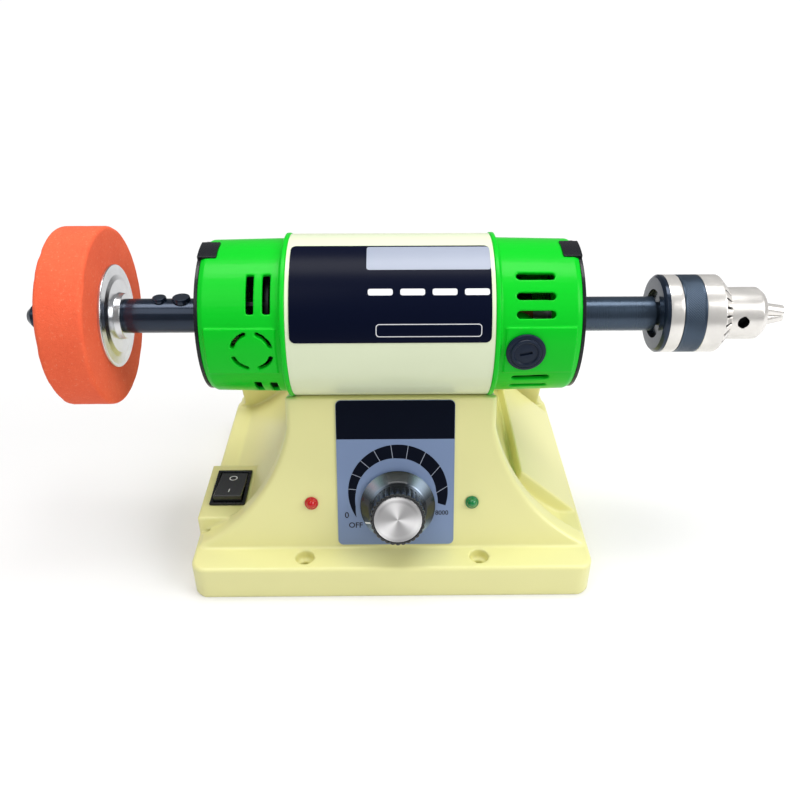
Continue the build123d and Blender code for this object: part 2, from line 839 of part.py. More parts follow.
def clip_seat():
    return ring_sector(cover_end_x - clip_length, cover_end_x + overrun, cover_end_r - cover_wall / 2,
                       tube_r + overrun, clip_low_deg, clip_high_deg)


def both_sides(make):
    # The operator's side and the same thing on the far side
    return [make, Rot(half_turn, 0, 0) * make]


def left_cover():
    shell = mirrored_x(cover_body() - clip_seat())
    for step in range(2):
        x = left_slot_first_x + step * left_slot_pitch
        shell -= both_sides(hoop_slot(x, left_slot_low_deg, left_slot_high_deg))
        shell -= hoop_slot(x, left_low_slot_low_deg, left_low_slot_high_deg)
    shell -= both_sides(ring_slots())
    return at_motor(shell)


def right_cover():
    shell = cover_body() - clip_seat()
    for deg in right_slot_degs:
        shell -= both_sides(radial_slot(right_slot_middle_x, right_slot_length, deg))
    for deg in right_low_slot_degs:
        shell -= radial_slot(right_slot_middle_x, right_slot_length, deg)
    holder = Pos(commutator_x, 0, 0) * Rot(90, 0, 0)
    boss = holder * Cylinder(brush_holder_r + bearing_seat_wall, cover_end_r * 2)
    boss &= pipe(cover_end_r, brush_seat_r, cover_start_x, cover_end_x)
    shell += boss
    shell -= holder * Cylinder(brush_holder_r + seat_fit, (cover_root_r + overrun) * 2)
    return at_motor(shell)


def end_plate():
    start = cover_end_x
    plate = pipe(end_plate_r, end_plate_bore_r, start, start + end_plate_thickness)
    lip = ring_sector(start, start + end_plate_thickness, end_plate_r - cover_wall,
                      cover_end_r + clip_rise, clip_low_deg, clip_high_deg)
    tongue = ring_sector(start - clip_length, start, cover_end_r - cover_wall / 2,
                         cover_end_r + clip_rise, clip_low_deg, clip_high_deg)
    return plate + lip + tongue


def bearing_outer():
    start = bearing_face_x
    ring = pipe(bearing_r, bearing_outer_bore_r, start, start + bearing_width)
    for x in (start, start + bearing_width - bearing_shield):
        ring += pipe(bearing_outer_bore_r + seat_fit, bearing_inner_r + running_fit, x, x + bearing_shield)
    return ring


def bearing_inner():
    return pipe(bearing_inner_r, shaft_r + seat_fit, bearing_face_x, bearing_face_x + bearing_width)


def stator_core():
    outer = tube_bore_r - seat_fit
    yoke = pipe(outer, outer - stator_yoke, -stator_half_length, stator_half_length)
    poles = pipe(outer - stator_yoke / 2, armature_r + air_gap, -stator_half_length, stator_half_length)
    poles &= Box(stator_half_length * 2, pole_half_width * 2, tube_r * 2)
    return at_motor(yoke + poles)


def field_coils():
    outer = tube_bore_r - stator_yoke - coil_gap
    inner = armature_r + coil_gap * 2
    reach = stator_half_length + coil_gap
    loop = Box((reach + coil_width) * 2, (pole_half_width + coil_gap + coil_width) * 2, tube_r * 2)
    loop -= Box(reach * 2, (pole_half_width + coil_gap) * 2, tube_r * 3)
    loop &= pipe(outer, inner, -reach - coil_width, reach + coil_width)
    gap = Box(tube_r * 4, tube_r * 4, coil_width * 2)
    return [at_motor(piece) for piece in (loop - gap).solids()]


def motor_shaft():
    end = right_arbor_end_x - chuck_socket_depth
    return at_motor(rod(shaft_r - seat_fit, set_screw_xs[0] - overrun, end))


def armature_core():
    core = pipe(armature_r, shaft_r, -stator_half_length, stator_half_length)
    slot = Pos(0, -armature_r, 0) * Box(stator_half_length * 3, armature_slot_depth * 2, armature_slot_width)
    for cutter in around(armature_slot_count, lambda: slot):
        core -= cutter
    return at_motor(core)


def armature_winding():
    start = stator_half_length
    end = start + winding_length
    middle = start + winding_length / 2
    outer_r = armature_r - coil_gap
    half = ring_profile([(start, shaft_r), (start, outer_r), (middle, outer_r), (end, winding_end_r),
                         (end, shaft_r)])
    return [at_motor(half), at_motor(mirrored_x(half))]


def commutator():
    start = commutator_x - commutator_length / 2
    bars = pipe(commutator_r, shaft_r, start, start + commutator_length)
    cut = Box(commutator_length * 2, commutator_cut * 2, commutator_cut)
    cut = Pos(commutator_x, -commutator_r, 0) * cut
    for cutter in around(commutator_bar_count, lambda: cut):
        bars -= cutter
    return at_motor(bars)


def cooling_fan():
    start = fan_x - fan_width / 2
    disc = pipe(fan_r, shaft_r, start + fan_width, start + fan_width + fan_disc)
    hub = pipe(fan_hub_r, shaft_r, start, start + fan_width)
    length = fan_r - fan_hub_r
    blade = Pos(start + fan_width / 2, -fan_hub_r - length / 2, 0)
    blade = blade * Box(fan_width, length + free_gap * 2, fan_blade_thickness)
    fan = disc + hub
    for vane in around(fan_blade_count, lambda: blade):
        fan += vane & pipe(fan_r, shaft_r, start, start + fan_width)
    return at_motor(fan)


def facing(make):
    # One on the operator's side and one opposite, both at the commutator
    piece = Pos(commutator_x, 0, 0) * Rot(90, 0, 0) * make
    return [at_motor(piece), at_motor(Rot(half_turn, 0, 0) * piece)]


def brush_holders():
    top = cover_root_r - seat_fit
    hollow = Box(brush_half_width * 2, brush_half_width * 2, tube_r * 3)
    tube = Pos(0, 0, (top + brush_holder_inner) / 2) * Cylinder(brush_holder_r, top - brush_holder_inner)
    return facing(tube - hollow)


def carbon_brushes():
    side = (brush_half_width - seat_fit) * 2
    return facing(Pos(0, 0, brush_foot_r + brush_length / 2) * Box(side, side, brush_length))


def brush_springs():
    low = brush_foot_r + brush_length
    spring = Cylinder(brush_spring_r, spring_top_r - low) - Cylinder(brush_spring_r / 2, tube_r)
    return facing(Pos(0, 0, (low + spring_top_r) / 2) * spring)


def brush_caps():
    base = cover_root_r + pad_rise
    cap = Pos(0, 0, base + brush_cap_flange / 2) * Cylinder(brush_cap_r, brush_cap_flange)
    plug = Cylinder(brush_half_width - seat_fit, base - spring_top_r)
    cap += Pos(0, 0, (base + spring_top_r) / 2) * plug
    ring = Cylinder(brush_neck_r, brush_cap_height)
    cap += Pos(0, 0, base + brush_cap_height / 2) * ring
    cap -= Pos(0, 0, base + brush_cap_height) * Box(brush_cap_r, brush_slot_width, brush_slot_depth * 2)
    return facing(cap)


def left_arbor():
    start = -arbor_start_x
    sleeve = ring_profile([(start, shaft_r), (start, arbor_r), (left_arbor_end_x, arbor_r),
                           (left_arbor_end_x, stud_r), (stud_end_x, stud_r), (stud_end_x, 0),
                           (set_screw_xs[0] - overrun, 0), (set_screw_xs[0] - overrun, shaft_r)])
    for x in set_screw_xs:
        sleeve -= Pos(x, 0, arbor_r) * Cylinder(set_screw_r, arbor_r)
    return at_motor(sleeve)


def set_screws():
    screws = []
    for x, size_share in zip(set_screw_xs, (1.0, set_screw_big_share)):
        shank_length = arbor_r - shaft_r + set_screw_head_height / 2
        shank = Pos(x, 0, shaft_r + shank_length / 2) * Cylinder(set_screw_r - seat_fit, shank_length)
        head_r = set_screw_head_r * size_share
        head = Pos(x, 0, arbor_r) * (Sphere(head_r) & Box(head_r * 2, head_r * 2, set_screw_head_height * 2))
        head -= rod(arbor_r + seat_fit, x - tube_r, x + tube_r)
        screws.append(at_motor(biggest(shank + head)))
    return screws


def inner_flange():
    outer_x = wheel_right_x
    inner_x = left_arbor_end_x
    profile = [(inner_x, stud_r), (inner_x, flange_hub_r), (inner_x - flange_ring_depth * 2, flange_hub_r),
               (outer_x + flange_rim_thickness * 2, flange_ring_r - flange_ring_depth),
               (outer_x + flange_rim_thickness + flange_ring_depth, flange_ring_r),
               (outer_x + flange_rim_thickness, flange_r - flange_ring_depth),
               (outer_x + flange_rim_thickness, flange_r), (outer_x, flange_r),
               (outer_x, wheel_bore_r - seat_fit), (outer_x - flange_spigot_length, wheel_bore_r - seat_fit),
               (outer_x - flange_spigot_length, stud_r)]
    return at_motor(ring_profile(profile))


def outer_flange():
    inner_x = wheel_left_x
    outer_x = nut_start_x
    spigot_x = inner_x + flange_spigot_length
    spigot_r = wheel_bore_r - seat_fit
    profile = [(spigot_x, stud_r), (spigot_x, spigot_r), (inner_x, spigot_r), (inner_x, flange_r),
               (inner_x - flange_rim_thickness, flange_r), (outer_x, flange_ring_r), (outer_x, stud_r)]
    return at_motor(ring_profile(profile))


def grinding_wheel():
    edge = wheel_edge_r
    profile = [(wheel_left_x, wheel_bore_r), (wheel_left_x, wheel_r - edge),
               (wheel_left_x + edge, wheel_r), (wheel_right_x - edge, wheel_r),
               (wheel_right_x, wheel_r - edge), (wheel_right_x, wheel_bore_r)]
    return at_motor(ring_profile(profile))


def wheel_nut():
    start = nut_start_x
    hexagon = Pos(start, 0, 0) * Rot(0, -90, 0) * extrude(RegularPolygon(nut_r, 6), nut_thickness)
    dome_start = start - nut_thickness
    dome = ring_profile([(dome_start, 0), (dome_start, nut_dome_r),
                         (nut_tip_x + nut_dome_r / 2, nut_dome_r), (nut_tip_x, nut_dome_r / 2),
                         (nut_tip_x, 0)])
    return at_motor(hexagon + dome - rod(stud_r, stud_end_x, start + overrun))


def right_arbor():
    start = arbor_start_x
    end = right_arbor_end_x
    nose = end + chuck_socket_depth - free_gap
    bore_end = right_arbor_end_x - chuck_socket_depth
    profile = [(start, shaft_r), (start, arbor_r), (end, arbor_r), (end, chuck_socket_r - seat_fit),
               (nose, chuck_socket_r - seat_fit), (nose, 0), (bore_end, 0), (bore_end, shaft_r)]
    return at_motor(ring_profile(profile))


def jaw_axis(deg, travel=0.0):
    # A plane at the jaw's tip whose Z runs back along the jaw's slanting bore
    tilt = radians(jaw_tilt_deg)
    out = (0, -cos(radians(deg)), sin(radians(deg)))
    z_dir = (-cos(tilt), out[1] * sin(tilt), out[2] * sin(tilt))
    origin = (jaw_tip_x, out[1] * jaw_tip_axis_r, out[2] * jaw_tip_axis_r)
    return Plane(origin=origin, z_dir=z_dir)


jaw_length = (jaw_tip_x - jaw_tail_x) / cos(radians(jaw_tilt_deg))
jaw_reach = jaw_length + jaw_travel + free_gap
jaw_degs = [jaw_start_deg + step * 360.0 / jaw_count for step in range(jaw_count)]


def chuck_body():
    neck_x = chuck_back_x + chuck_recess
    shoulder_x = chuck_nose_end_x + (chuck_cone_end_x - chuck_nose_end_x) * cone_shoulder_x_share
    shoulder_r = chuck_nose_r + (chuck_cone_r - chuck_nose_r) * cone_shoulder_r_share
    core = ring_profile([
        (neck_x, 0), (neck_x, chuck_neck_r - seat_fit), (chuck_rear_ring_end_x, chuck_neck_r - seat_fit),
        (chuck_rear_ring_end_x, chuck_r), (chuck_collar_end_x, chuck_r),
        (chuck_collar_end_x, chuck_core_r), (chuck_core_end_x, chuck_core_r),
        (chuck_core_end_x, chuck_nose_r), (chuck_nose_end_x, chuck_nose_r), (shoulder_x, shoulder_r),
        (chuck_cone_end_x, chuck_cone_r), (chuck_cone_end_x, 0)])
    core -= rod(chuck_socket_r, chuck_back_x - overrun, right_arbor_end_x + chuck_socket_depth)
    core -= rod(chuck_bore_r, chuck_back_x, chuck_cone_end_x + overrun)
    core -= pipe(chuck_r, nut_ring_inner_r - free_gap, nut_ring_start_x - sleeve_gap,
                 nut_ring_end_x + sleeve_gap)
    for deg in jaw_degs:
        core -= jaw_axis(deg) * (Pos(0, 0, jaw_reach / 2) * Cylinder(jaw_r + running_fit, jaw_reach))
        hole = Pos(key_hole_x, -(key_hole_floor_r + chuck_r) / 2, 0) * Rot(90, 0, 0)
        core -= turned(deg + 60, hole * Cylinder(key_hole_r, chuck_r - key_hole_floor_r))
    return at_motor(core)


def chuck_rear_ring():
    # The dark ring pressed over the chuck's neck leaves a recess round the arbor
    return at_motor(ring_profile([
        (chuck_back_x, chuck_neck_r), (chuck_back_x, chuck_r - chuck_bevel),
        (chuck_back_x + chuck_bevel, chuck_r), (chuck_rear_ring_end_x, chuck_r),
        (chuck_rear_ring_end_x, chuck_neck_r)]))


def chuck_jaw(deg):
    # Three flats meet along the chuck's axis, set off by half the grip gap
    jaw = jaw_axis(deg) * (Pos(0, 0, jaw_length / 2) * Cylinder(jaw_r, jaw_length))
    for side in (-1, 1):
        flank = Pos((jaw_tip_x + jaw_tail_x) / 2, chuck_r - jaw_side_gap, 0)
        block = flank * Box(jaw_length * 2, chuck_r * 2, chuck_r * 2)
        jaw -= turned(deg - side * 90 / jaw_count, block)
    grip = Pos((jaw_tip_x + jaw_tail_x) / 2, chuck_r - jaw_grip_r, 0)
    jaw -= turned(deg, grip * Box(jaw_length * 2, chuck_r * 2, chuck_r * 2))
    return at_motor(jaw)


def chuck_sleeve():
    start = chuck_collar_end_x + sleeve_gap
    bore = chuck_core_r + running_fit
    nose = chuck_nose_r + running_fit
    step = chuck_core_end_x + sleeve_gap
    band_r = chuck_r - grip_band_depth
    profile = [(start, bore), (start, band_r), (grip_band_end_x, band_r), (grip_band_end_x, chuck_r),
               (sleeve_chamfer_x, chuck_r), (sleeve_end_x, sleeve_front_r), (sleeve_end_x, nose),
               (step, nose), (step, bore)]
    sleeve = ring_profile(profile)
    middle_x = (sleeve_chamfer_x + sleeve_end_x) / 2
    middle_r = (chuck_r + sleeve_front_r) / 2
    slope = (chuck_r - sleeve_front_r) / (sleeve_end_x - sleeve_chamfer_x)
    gash = Pos(middle_x, -middle_r, 0) * bevel_gash(slope)
    for cutter in around(bevel_tooth_count, lambda: gash):
        sleeve -= cutter
    return at_motor(sleeve)


def bevel_gash(slope):
    # A V cut that leans along the sleeve's front cone
    length = sleeve_end_x - sleeve_chamfer_x + overrun * 2
    outline = Polyline((0, bevel_tooth_depth / 2), (bevel_tooth_width / 2, -bevel_tooth_depth),
                       (-bevel_tooth_width / 2, -bevel_tooth_depth), close=True)
    cut = Pos(-length / 2, 0, 0) * Rot(0, 90, 0) * Rot(0, 0, 90) * extrude(make_face(outline), length)
    return Rot(0, 0, lean_of(slope)) * cut


def lean_of(slope):
    return Vector(1, slope, 0).get_angle(Vector(1, 0, 0))


def grip_band():
    start = chuck_collar_end_x + sleeve_gap
    inner = chuck_r - grip_band_depth + seat_fit
    band = pipe(chuck_r - seat_fit, inner, start, grip_band_end_x - seat_fit)
    groove = Pos((start + grip_band_end_x) / 2, -chuck_r, 0)
    length = grip_band_end_x - start - grip_band_depth * 2
    groove = groove * Box(length, grip_band_depth / 2, grip_band_depth / 2)
    for cutter in around(grip_band_groove_count, lambda: groove):
        band -= cutter
    return at_motor(band)


def nut_ring():
    outer_r = chuck_core_r + running_fit - seat_fit / 2
    return at_motor(pipe(outer_r, nut_ring_inner_r, nut_ring_start_x, nut_ring_end_x))


def save(name, shape):
    pieces = shape if isinstance(shape, list) else [shape]
    solids = [solid for piece in pieces for solid in piece.solids()]
    export_step(solids[0] if len(solids) == 1 else Compound(children=solids), f"parts/{name}.step")


nodes = {
    "base_housing": base_housing,
    "bottom_plate": bottom_plate,
    "rubber_feet": rubber_feet,
    "plate_screws": plate_screws,
    "mount_screws": mount_screws,
    "cable_gland": cable_gland,
    "control_plate": control_plate,
    "led_red": lambda: led(-1),
    "led_green": lambda: led(1),
    "pot_body": pot_body,
    "pot_nut": pot_nut,
    "pot_shaft": pot_shaft,
    "speed_knob": knob,
    "knob_cap": knob_cap,
    "switch_frame": switch_frame,
    "rocker": rocker,
    "control_board": control_board,
    "board_pillars": board_pillars,
    "board_screws": board_screws,
    "heat_sink": heat_sink,
    "board_parts": board_parts,
    "motor_tube": motor_tube,
    "label_plate": label_plate,
    "left_cover": left_cover,
    "right_cover": right_cover,
    "left_end_plate": lambda: at_motor(mirrored_x(end_plate())),
    "right_end_plate": lambda: at_motor(end_plate()),
    "left_bearing_outer": lambda: at_motor(mirrored_x(bearing_outer())),
    "right_bearing_outer": lambda: at_motor(bearing_outer()),
    "left_bearing_inner": lambda: at_motor(mirrored_x(bearing_inner())),
    "right_bearing_inner": lambda: at_motor(bearing_inner()),
    "stator_core": stator_core,
    "field_coils": field_coils,
    "motor_shaft": motor_shaft,
    "armature_core": armature_core,
    "armature_winding": armature_winding,
    "commutator": commutator,
    "cooling_fan": cooling_fan,
    "brush_holders": brush_holders,
    "carbon_brushes": carbon_brushes,
    "brush_springs": brush_springs,
    "brush_caps": brush_caps,
    "left_arbor": left_arbor,
    "set_screws": set_screws,
    "inner_flange": inner_flange,
    "outer_flange": outer_flange,
    "grinding_wheel": grinding_wheel,
    "wheel_nut": wheel_nut,
    "right_arbor": right_arbor,
    "chuck_body": chuck_body,
    "chuck_rear_ring": chuck_rear_ring,
    "chuck_sleeve": chuck_sleeve,
    "grip_band": grip_band,
    "nut_ring": nut_ring,
}
for index, deg in enumerate(jaw_degs):
    nodes[f"jaw_{index + 1}"] = lambda deg=deg: chuck_jaw(deg)
for name, make in nodes.items():
    save(name, make())
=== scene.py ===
import json
import bmesh
import bpy
import numpy as np
from mathutils import Matrix, Vector

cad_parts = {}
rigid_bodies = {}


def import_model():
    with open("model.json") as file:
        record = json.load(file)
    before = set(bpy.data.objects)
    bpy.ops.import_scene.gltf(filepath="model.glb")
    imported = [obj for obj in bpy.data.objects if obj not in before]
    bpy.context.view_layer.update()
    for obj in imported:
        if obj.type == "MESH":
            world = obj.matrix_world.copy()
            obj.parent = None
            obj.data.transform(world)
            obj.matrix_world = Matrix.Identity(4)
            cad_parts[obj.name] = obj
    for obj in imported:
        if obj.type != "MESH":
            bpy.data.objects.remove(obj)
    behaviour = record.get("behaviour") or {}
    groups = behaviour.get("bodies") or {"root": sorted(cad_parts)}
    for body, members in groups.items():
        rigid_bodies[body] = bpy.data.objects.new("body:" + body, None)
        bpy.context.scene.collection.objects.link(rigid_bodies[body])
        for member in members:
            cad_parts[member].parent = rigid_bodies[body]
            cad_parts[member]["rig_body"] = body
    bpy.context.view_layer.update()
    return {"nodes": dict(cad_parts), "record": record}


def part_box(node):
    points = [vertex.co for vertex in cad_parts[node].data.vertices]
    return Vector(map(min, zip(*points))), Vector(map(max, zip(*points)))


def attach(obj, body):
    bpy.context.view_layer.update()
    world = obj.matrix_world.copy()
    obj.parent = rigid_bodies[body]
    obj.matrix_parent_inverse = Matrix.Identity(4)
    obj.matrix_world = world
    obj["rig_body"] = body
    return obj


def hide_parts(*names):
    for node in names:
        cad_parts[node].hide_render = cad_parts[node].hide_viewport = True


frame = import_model()
nodes = frame["nodes"]
slotOf = {part["node"]: part["material_slot"] for part in frame["record"]["subparts"]}
mm = 0.001
motorY = -18 * mm
motorZ = 145 * mm
spindle = ((0, motorY, motorZ), (1, 0, 0), (0, 0, 1))  # a point on its axis, the way along it, and up
print("frame loaded:", len(nodes), "nodes")


# meshes and objects

def sinDeg(a):
    return np.sin(np.radians(a))


def cosDeg(a):
    return np.cos(np.radians(a))


def gridFaces(rows, columns, wrapColumns=False):
    # one face per cell of a grid of points, closed round its columns where they form a ring
    a = np.arange(rows - 1)
    b = np.arange(columns if wrapColumns else columns - 1)
    a, b = np.meshgrid(a, b, indexing="ij")
    nextB = (b + 1) % columns
    corners = [a * columns + b, (a + 1) * columns + b, (a + 1) * columns + nextB, a * columns + nextB]
    return np.stack(corners, -1).reshape(-1, 4)


def meshFrom(name, points, faces, uv=None):
    # uv holds one (u, v) per point
    mesh = bpy.data.meshes.new(name)
    points = np.asarray(points, float).reshape(-1, 3)
    faces = np.asarray(faces)
    mesh.from_pydata(points.tolist(), [], faces.tolist())
    if uv is not None:
        layer = mesh.uv_layers.new(name="flat")
        corner = np.zeros(len(mesh.loops), np.int32)
        mesh.loops.foreach_get("vertex_index", corner)
        values = np.asarray(uv, np.float32).reshape(-1, 2)[corner].reshape(*faces.shape, 2)
        # the face that closes a ring runs on past 1, not back to 0
        across = values[..., 0]
        across[(np.ptp(across, axis=1) > 0.5)[:, None] & (across < 0.5)] += 1
        layer.data.foreach_set("uv", values.ravel())
    mesh.update()
    return mesh


def newObject(name, data):
    made = bpy.data.objects.new(name, data)
    bpy.context.scene.collection.objects.link(made)
    return made


def setFinishes(mesh, *chosen):
    # a mesh's finishes, in the order of its faces' material numbers
    mesh.materials.clear()
    for finish in chosen:
        mesh.materials.append(finish)


def pieceOf(name, mesh, finish, body, cadNode=None):
    # a finished piece that rides its body, and takes the place of a CAD node where one is named
    piece = newObject(name, mesh)
    setFinishes(mesh, finish)
    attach(piece, body)
    if cadNode:
        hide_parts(cadNode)
    return piece


def smoothShade(mesh, sharpDeg):
    mesh.shade_smooth()
    mesh.set_sharp_from_angle(angle=np.radians(sharpDeg))


def faceCentres(mesh):
    centres = np.zeros(len(mesh.polygons) * 3)
    mesh.polygons.foreach_get("center", centres)
    return centres.reshape(-1, 3)


def finishFaces(mesh, number):
    # number holds one material number per face
    mesh.polygons.foreach_set("material_index", np.asarray(number).astype(np.int32))


def mergePoints(mesh, reach, flatDeg=0.0, outward=False):
    # joins points that lie within reach, and on request drops flat edges or turns all faces outward
    work = bmesh.new()
    work.from_mesh(mesh)
    bmesh.ops.remove_doubles(work, verts=work.verts, dist=reach)
    if flatDeg:
        bmesh.ops.dissolve_limit(work, angle_limit=np.radians(flatDeg), verts=work.verts, edges=work.edges)
    if outward:
        bmesh.ops.recalc_face_normals(work, faces=work.faces)
    work.to_mesh(mesh)
    work.free()


def evaluated(piece):
    # the object's shape with its modifiers applied, as a mesh of its own
    bpy.context.view_layer.update()
    return bpy.data.meshes.new_from_object(piece.evaluated_get(bpy.context.evaluated_depsgraph_get()))


def applyModifiers(piece):
    shape = evaluated(piece)
    piece.modifiers.clear()
    piece.data = shape
    return shape


def rounded(profile, steps=4):
    # each profile point is (x, r) or (x, r, fillet): a fillet is an arc that touches both legs
    out = []
    count = len(profile)
    for i, point in enumerate(profile):
        here = np.array(point[:2], float)
        fillet = point[2] if len(point) > 2 else 0
        if fillet == 0 or i == 0 or i == count - 1:
            out.append(here)
            continue
        back = np.array(profile[i - 1][:2], float) - here
        ahead = np.array(profile[i + 1][:2], float) - here
        backLength = np.hypot(*back)
        aheadLength = np.hypot(*ahead)
        back /= backLength
        ahead /= aheadLength
        half = np.arccos(np.clip(back @ ahead, -1, 1)) / 2
        reach = min(fillet / np.tan(half), backLength * 0.48, aheadLength * 0.48)
        middle = here + (back + ahead) / np.hypot(*(back + ahead)) * reach / np.cos(half)
        start = here + back * reach - middle
        end = here + ahead * reach - middle
        turn = np.arctan2(start[0] * end[1] - start[1] * end[0], start @ end)
        for share in np.linspace(0, 1, steps + 1):
            a = turn * share
            out.append(middle + [start[0] * np.cos(a) - start[1] * np.sin(a),
                                 start[0] * np.sin(a) + start[1] * np.cos(a)])
    return np.array(out)


def refined(profile, longest):
    # the same line with no step longer than the given length
    out = [profile[0]]
    for a, b in zip(profile[:-1], profile[1:]):
        parts = max(1, int(np.ceil(np.hypot(*(b - a)) / longest)))
        for k in range(1, parts + 1):
            out.append(a + (b - a) * k / parts)
    return np.array(out)


def spun(profile, segments, centre, along, up, change=None):
    # point = centre + along * h + (up * cos t + side * sin t) * r, for profile steps (h, r) in mm
    along = np.array(along, float)
    up = np.array(up, float)
    side = np.cross(along, up)
    t = np.linspace(0, 2 * np.pi, segments, endpoint=False)
    h, t2 = np.meshgrid(profile[:, 0], t, indexing="ij")
    r = np.repeat(profile[:, 1][:, None], segments, 1)
    if change is not None:
        h, r = change(h, r, t2)
    ring = up * np.cos(t2)[..., None] + side * np.sin(t2)[..., None]
    points = np.array(centre) + along * (h[..., None] * mm) + ring * (r[..., None] * mm)
    length = np.concatenate([[0], np.cumsum(np.hypot(*np.diff(profile, axis=0).T))])
    uv = np.stack([t2 / (2 * np.pi), np.repeat(length[:, None], segments, 1) * mm], -1)
    return points, gridFaces(len(profile), segments, wrapColumns=True), uv


def spunMesh(name, profile, segments, place, sharpDeg, change=None):
    # place is (centre, along, up); the profile runs so that its faces point outward
    points, faces, uv = spun(profile, segments, *place, change=change)
    mesh = meshFrom(name, points, faces[:, ::-1], uv)
    smoothShade(mesh, sharpDeg)
    return mesh


def onSpindle(name, profile, segments=192, longest=None, change=None, sharpDeg=32):
    line = rounded(profile)
    if longest:
        line = refined(line, longest)
    return spunMesh(name, line, segments, spindle, sharpDeg, change)


def ripple(shape, seed, reach):
    # random values in -1..1, averaged over about reach grid steps and wrapped round both ways: the
    # factor 20, which is 2 pi squared, makes reach the width of the bell curve they are averaged by
    values = np.random.default_rng(seed).standard_normal(shape)
    rows = np.fft.fftfreq(shape[0])[:, None]
    columns = np.fft.fftfreq(shape[1])[None, :]
    keep = np.exp(-(rows ** 2 + columns ** 2) * (reach ** 2) * 20)
    values = np.real(np.fft.ifft2(np.fft.fft2(values) * keep))
    return values / np.abs(values).max()


# shader maths and finishes

class Val:
    # a shader socket: sums and products with it add the Math nodes that work them out
    def __init__(self, tree, socket):
        self.tree = tree
        self.socket = socket

    def node(self, kind, inputs=(), out=0, **settings):
        made = self.tree.nodes.new("ShaderNode" + kind)
        for key, value in settings.items():
            setattr(made, key, value)
        for key, value in dict(inputs).items():
            if isinstance(value, Val):
                self.tree.links.new(value.socket, made.inputs[key])
            else:
                made.inputs[key].default_value = value
        return Val(self.tree, made.outputs[out])

    def maths(self, kind, other=None):
        inputs = {0: self} if other is None else {0: self, 1: other}
        return self.node("Math", inputs, operation=kind)

    def __add__(self, other):
        return self.maths("ADD", other)

    def __radd__(self, other):
        return self.maths("ADD", other)

    def __sub__(self, other):
        return self.maths("SUBTRACT", other)

    def __rsub__(self, other):
        return self.node("Math", {0: other, 1: self}, operation="SUBTRACT")

    def __mul__(self, other):
        return self.maths("MULTIPLY", other)

    def __rmul__(self, other):
        return self.maths("MULTIPLY", other)

    def xyz(self):
        made = self.node("SeparateXYZ", {0: self}).socket.node
        return [Val(self.tree, made.outputs[k]) for k in range(3)]

    def ramp(self, low, high, toLow=0.0, toHigh=1.0):
        inputs = {0: self, 1: low, 2: high, 3: toLow, 4: toHigh}
        return self.node("MapRange", inputs, clamp=True, interpolation_type="SMOOTHSTEP")

    def noise(self, scale, detail, rough=0.5):
        inputs = {"Vector": self, "Scale": scale, "Detail": detail, "Roughness": rough}
        return self.node("TexNoise", inputs)

    def blend(self, a, b):
        inputs = {0: self, 6: a, 7: b}
        return self.node("Mix", inputs, out=2, data_type="RGBA")


plainFinish = {"metal": 0.0, "coat": 0.0, "coatRough": 0.08, "ior": 1.5, "bump": 0.5, "bumpDepth": 0.1,
               "roughSwing": 0.14, "skin": 900, "peel": 260, "pitch": 5200, "grain": 1500}


def finishFor(name, build, settings):
    # a Principled surface with its constants set and its varying sockets filled by build
    s = {**plainFinish, **settings}
    material = bpy.data.materials.new(name)
    material.use_nodes = True
    tree = material.node_tree
    shader = tree.nodes["Principled BSDF"]
    shader.inputs["Base Color"].default_value = (*s["colour"], 1)
    shader.inputs["Roughness"].default_value = s["rough"]
    shader.inputs["Metallic"].default_value = s["metal"]
    shader.inputs["Coat Weight"].default_value = s["coat"]
    shader.inputs["Coat Roughness"].default_value = s["coatRough"]
    shader.inputs["IOR"].default_value = s["ior"]
    place = Val(tree, tree.nodes.new("ShaderNodeTexCoord").outputs["Object"])
    made = build(place, s)
    inputs = {"Height": made.pop("height"), "Strength": s["bump"], "Distance": s["bumpDepth"] * mm}
    made["Normal"] = place.node("Bump", inputs)
    for key, value in made.items():
        tree.links.new(value.socket, shader.inputs[key])
    return material


def tinted(s, key, share):
    # one of the finish's colours, made darker or lighter by a share
    return (*[channel * share for channel in s[key]], 1)


def mouldedParts(place, s):
    # slow cloudy tone, fine skin for the roughness, and a faint orange peel
    cloud = place.noise(14, 3).ramp(0.3, 0.7)
    skin = place.noise(s["skin"], 4, 0.6)
    colour = cloud.blend(tinted(s, "colour", 0.965), tinted(s, "colour", 1.0))
    rough = skin * s["roughSwing"] + (s["rough"] - s["roughSwing"] / 2)
    height = place.noise(s["peel"], 2) * 0.7 + skin * 0.3
    return {"Base Color": colour, "Roughness": rough, "height": height}


def turnedParts(place, s):
    # lathe marks: noise that changes along the spindle and with the distance from it, not round it
    x, y, z = place.xyz()
    dy = y - motorY
    dz = z - motorZ
    r = (dy * dy + dz * dz).maths("SQRT")
    marks = place.node("CombineXYZ", {0: x * s["pitch"], 1: r * s["pitch"]}).noise(1.0, 3, 0.7)
    stain = place.noise(90, 3)
    rough = marks * 0.16 + stain * 0.1 + (s["rough"] - 0.13)
    colour = stain.ramp(0.35, 0.7).blend(tinted(s, "colour", 0.9), tinted(s, "colour", 1.0))
    return {"Base Color": colour, "Roughness": rough, "height": marks}


def gritParts(place, s):
    # bonded grains: three close tones by cell, pits between the grains
    cells = {"Vector": place, "Scale": s["grain"]}
    grains = place.node("TexVoronoi", cells, out="Color")
    grey = grains.node("SeparateColor", {0: grains})
    gap = place.node("TexVoronoi", cells, out="Distance")
    cloud = place.noise(60, 5, 0.65)
    speck = place.noise(700, 2)
    base = (cloud * 0.7 + grey * 0.3).blend(tinted(s, "colour", 0.84), tinted(s, "pale", 1.0))
    colour = (speck.ramp(0.60, 0.75) * 0.35).blend(base, tinted(s, "speck", 1.0))
    height = gap * -0.8 + place.noise(350, 4, 0.7)
    return {"Base Color": colour, "Roughness": cloud * 0.1 + (s["rough"] - 0.05), "height": height}


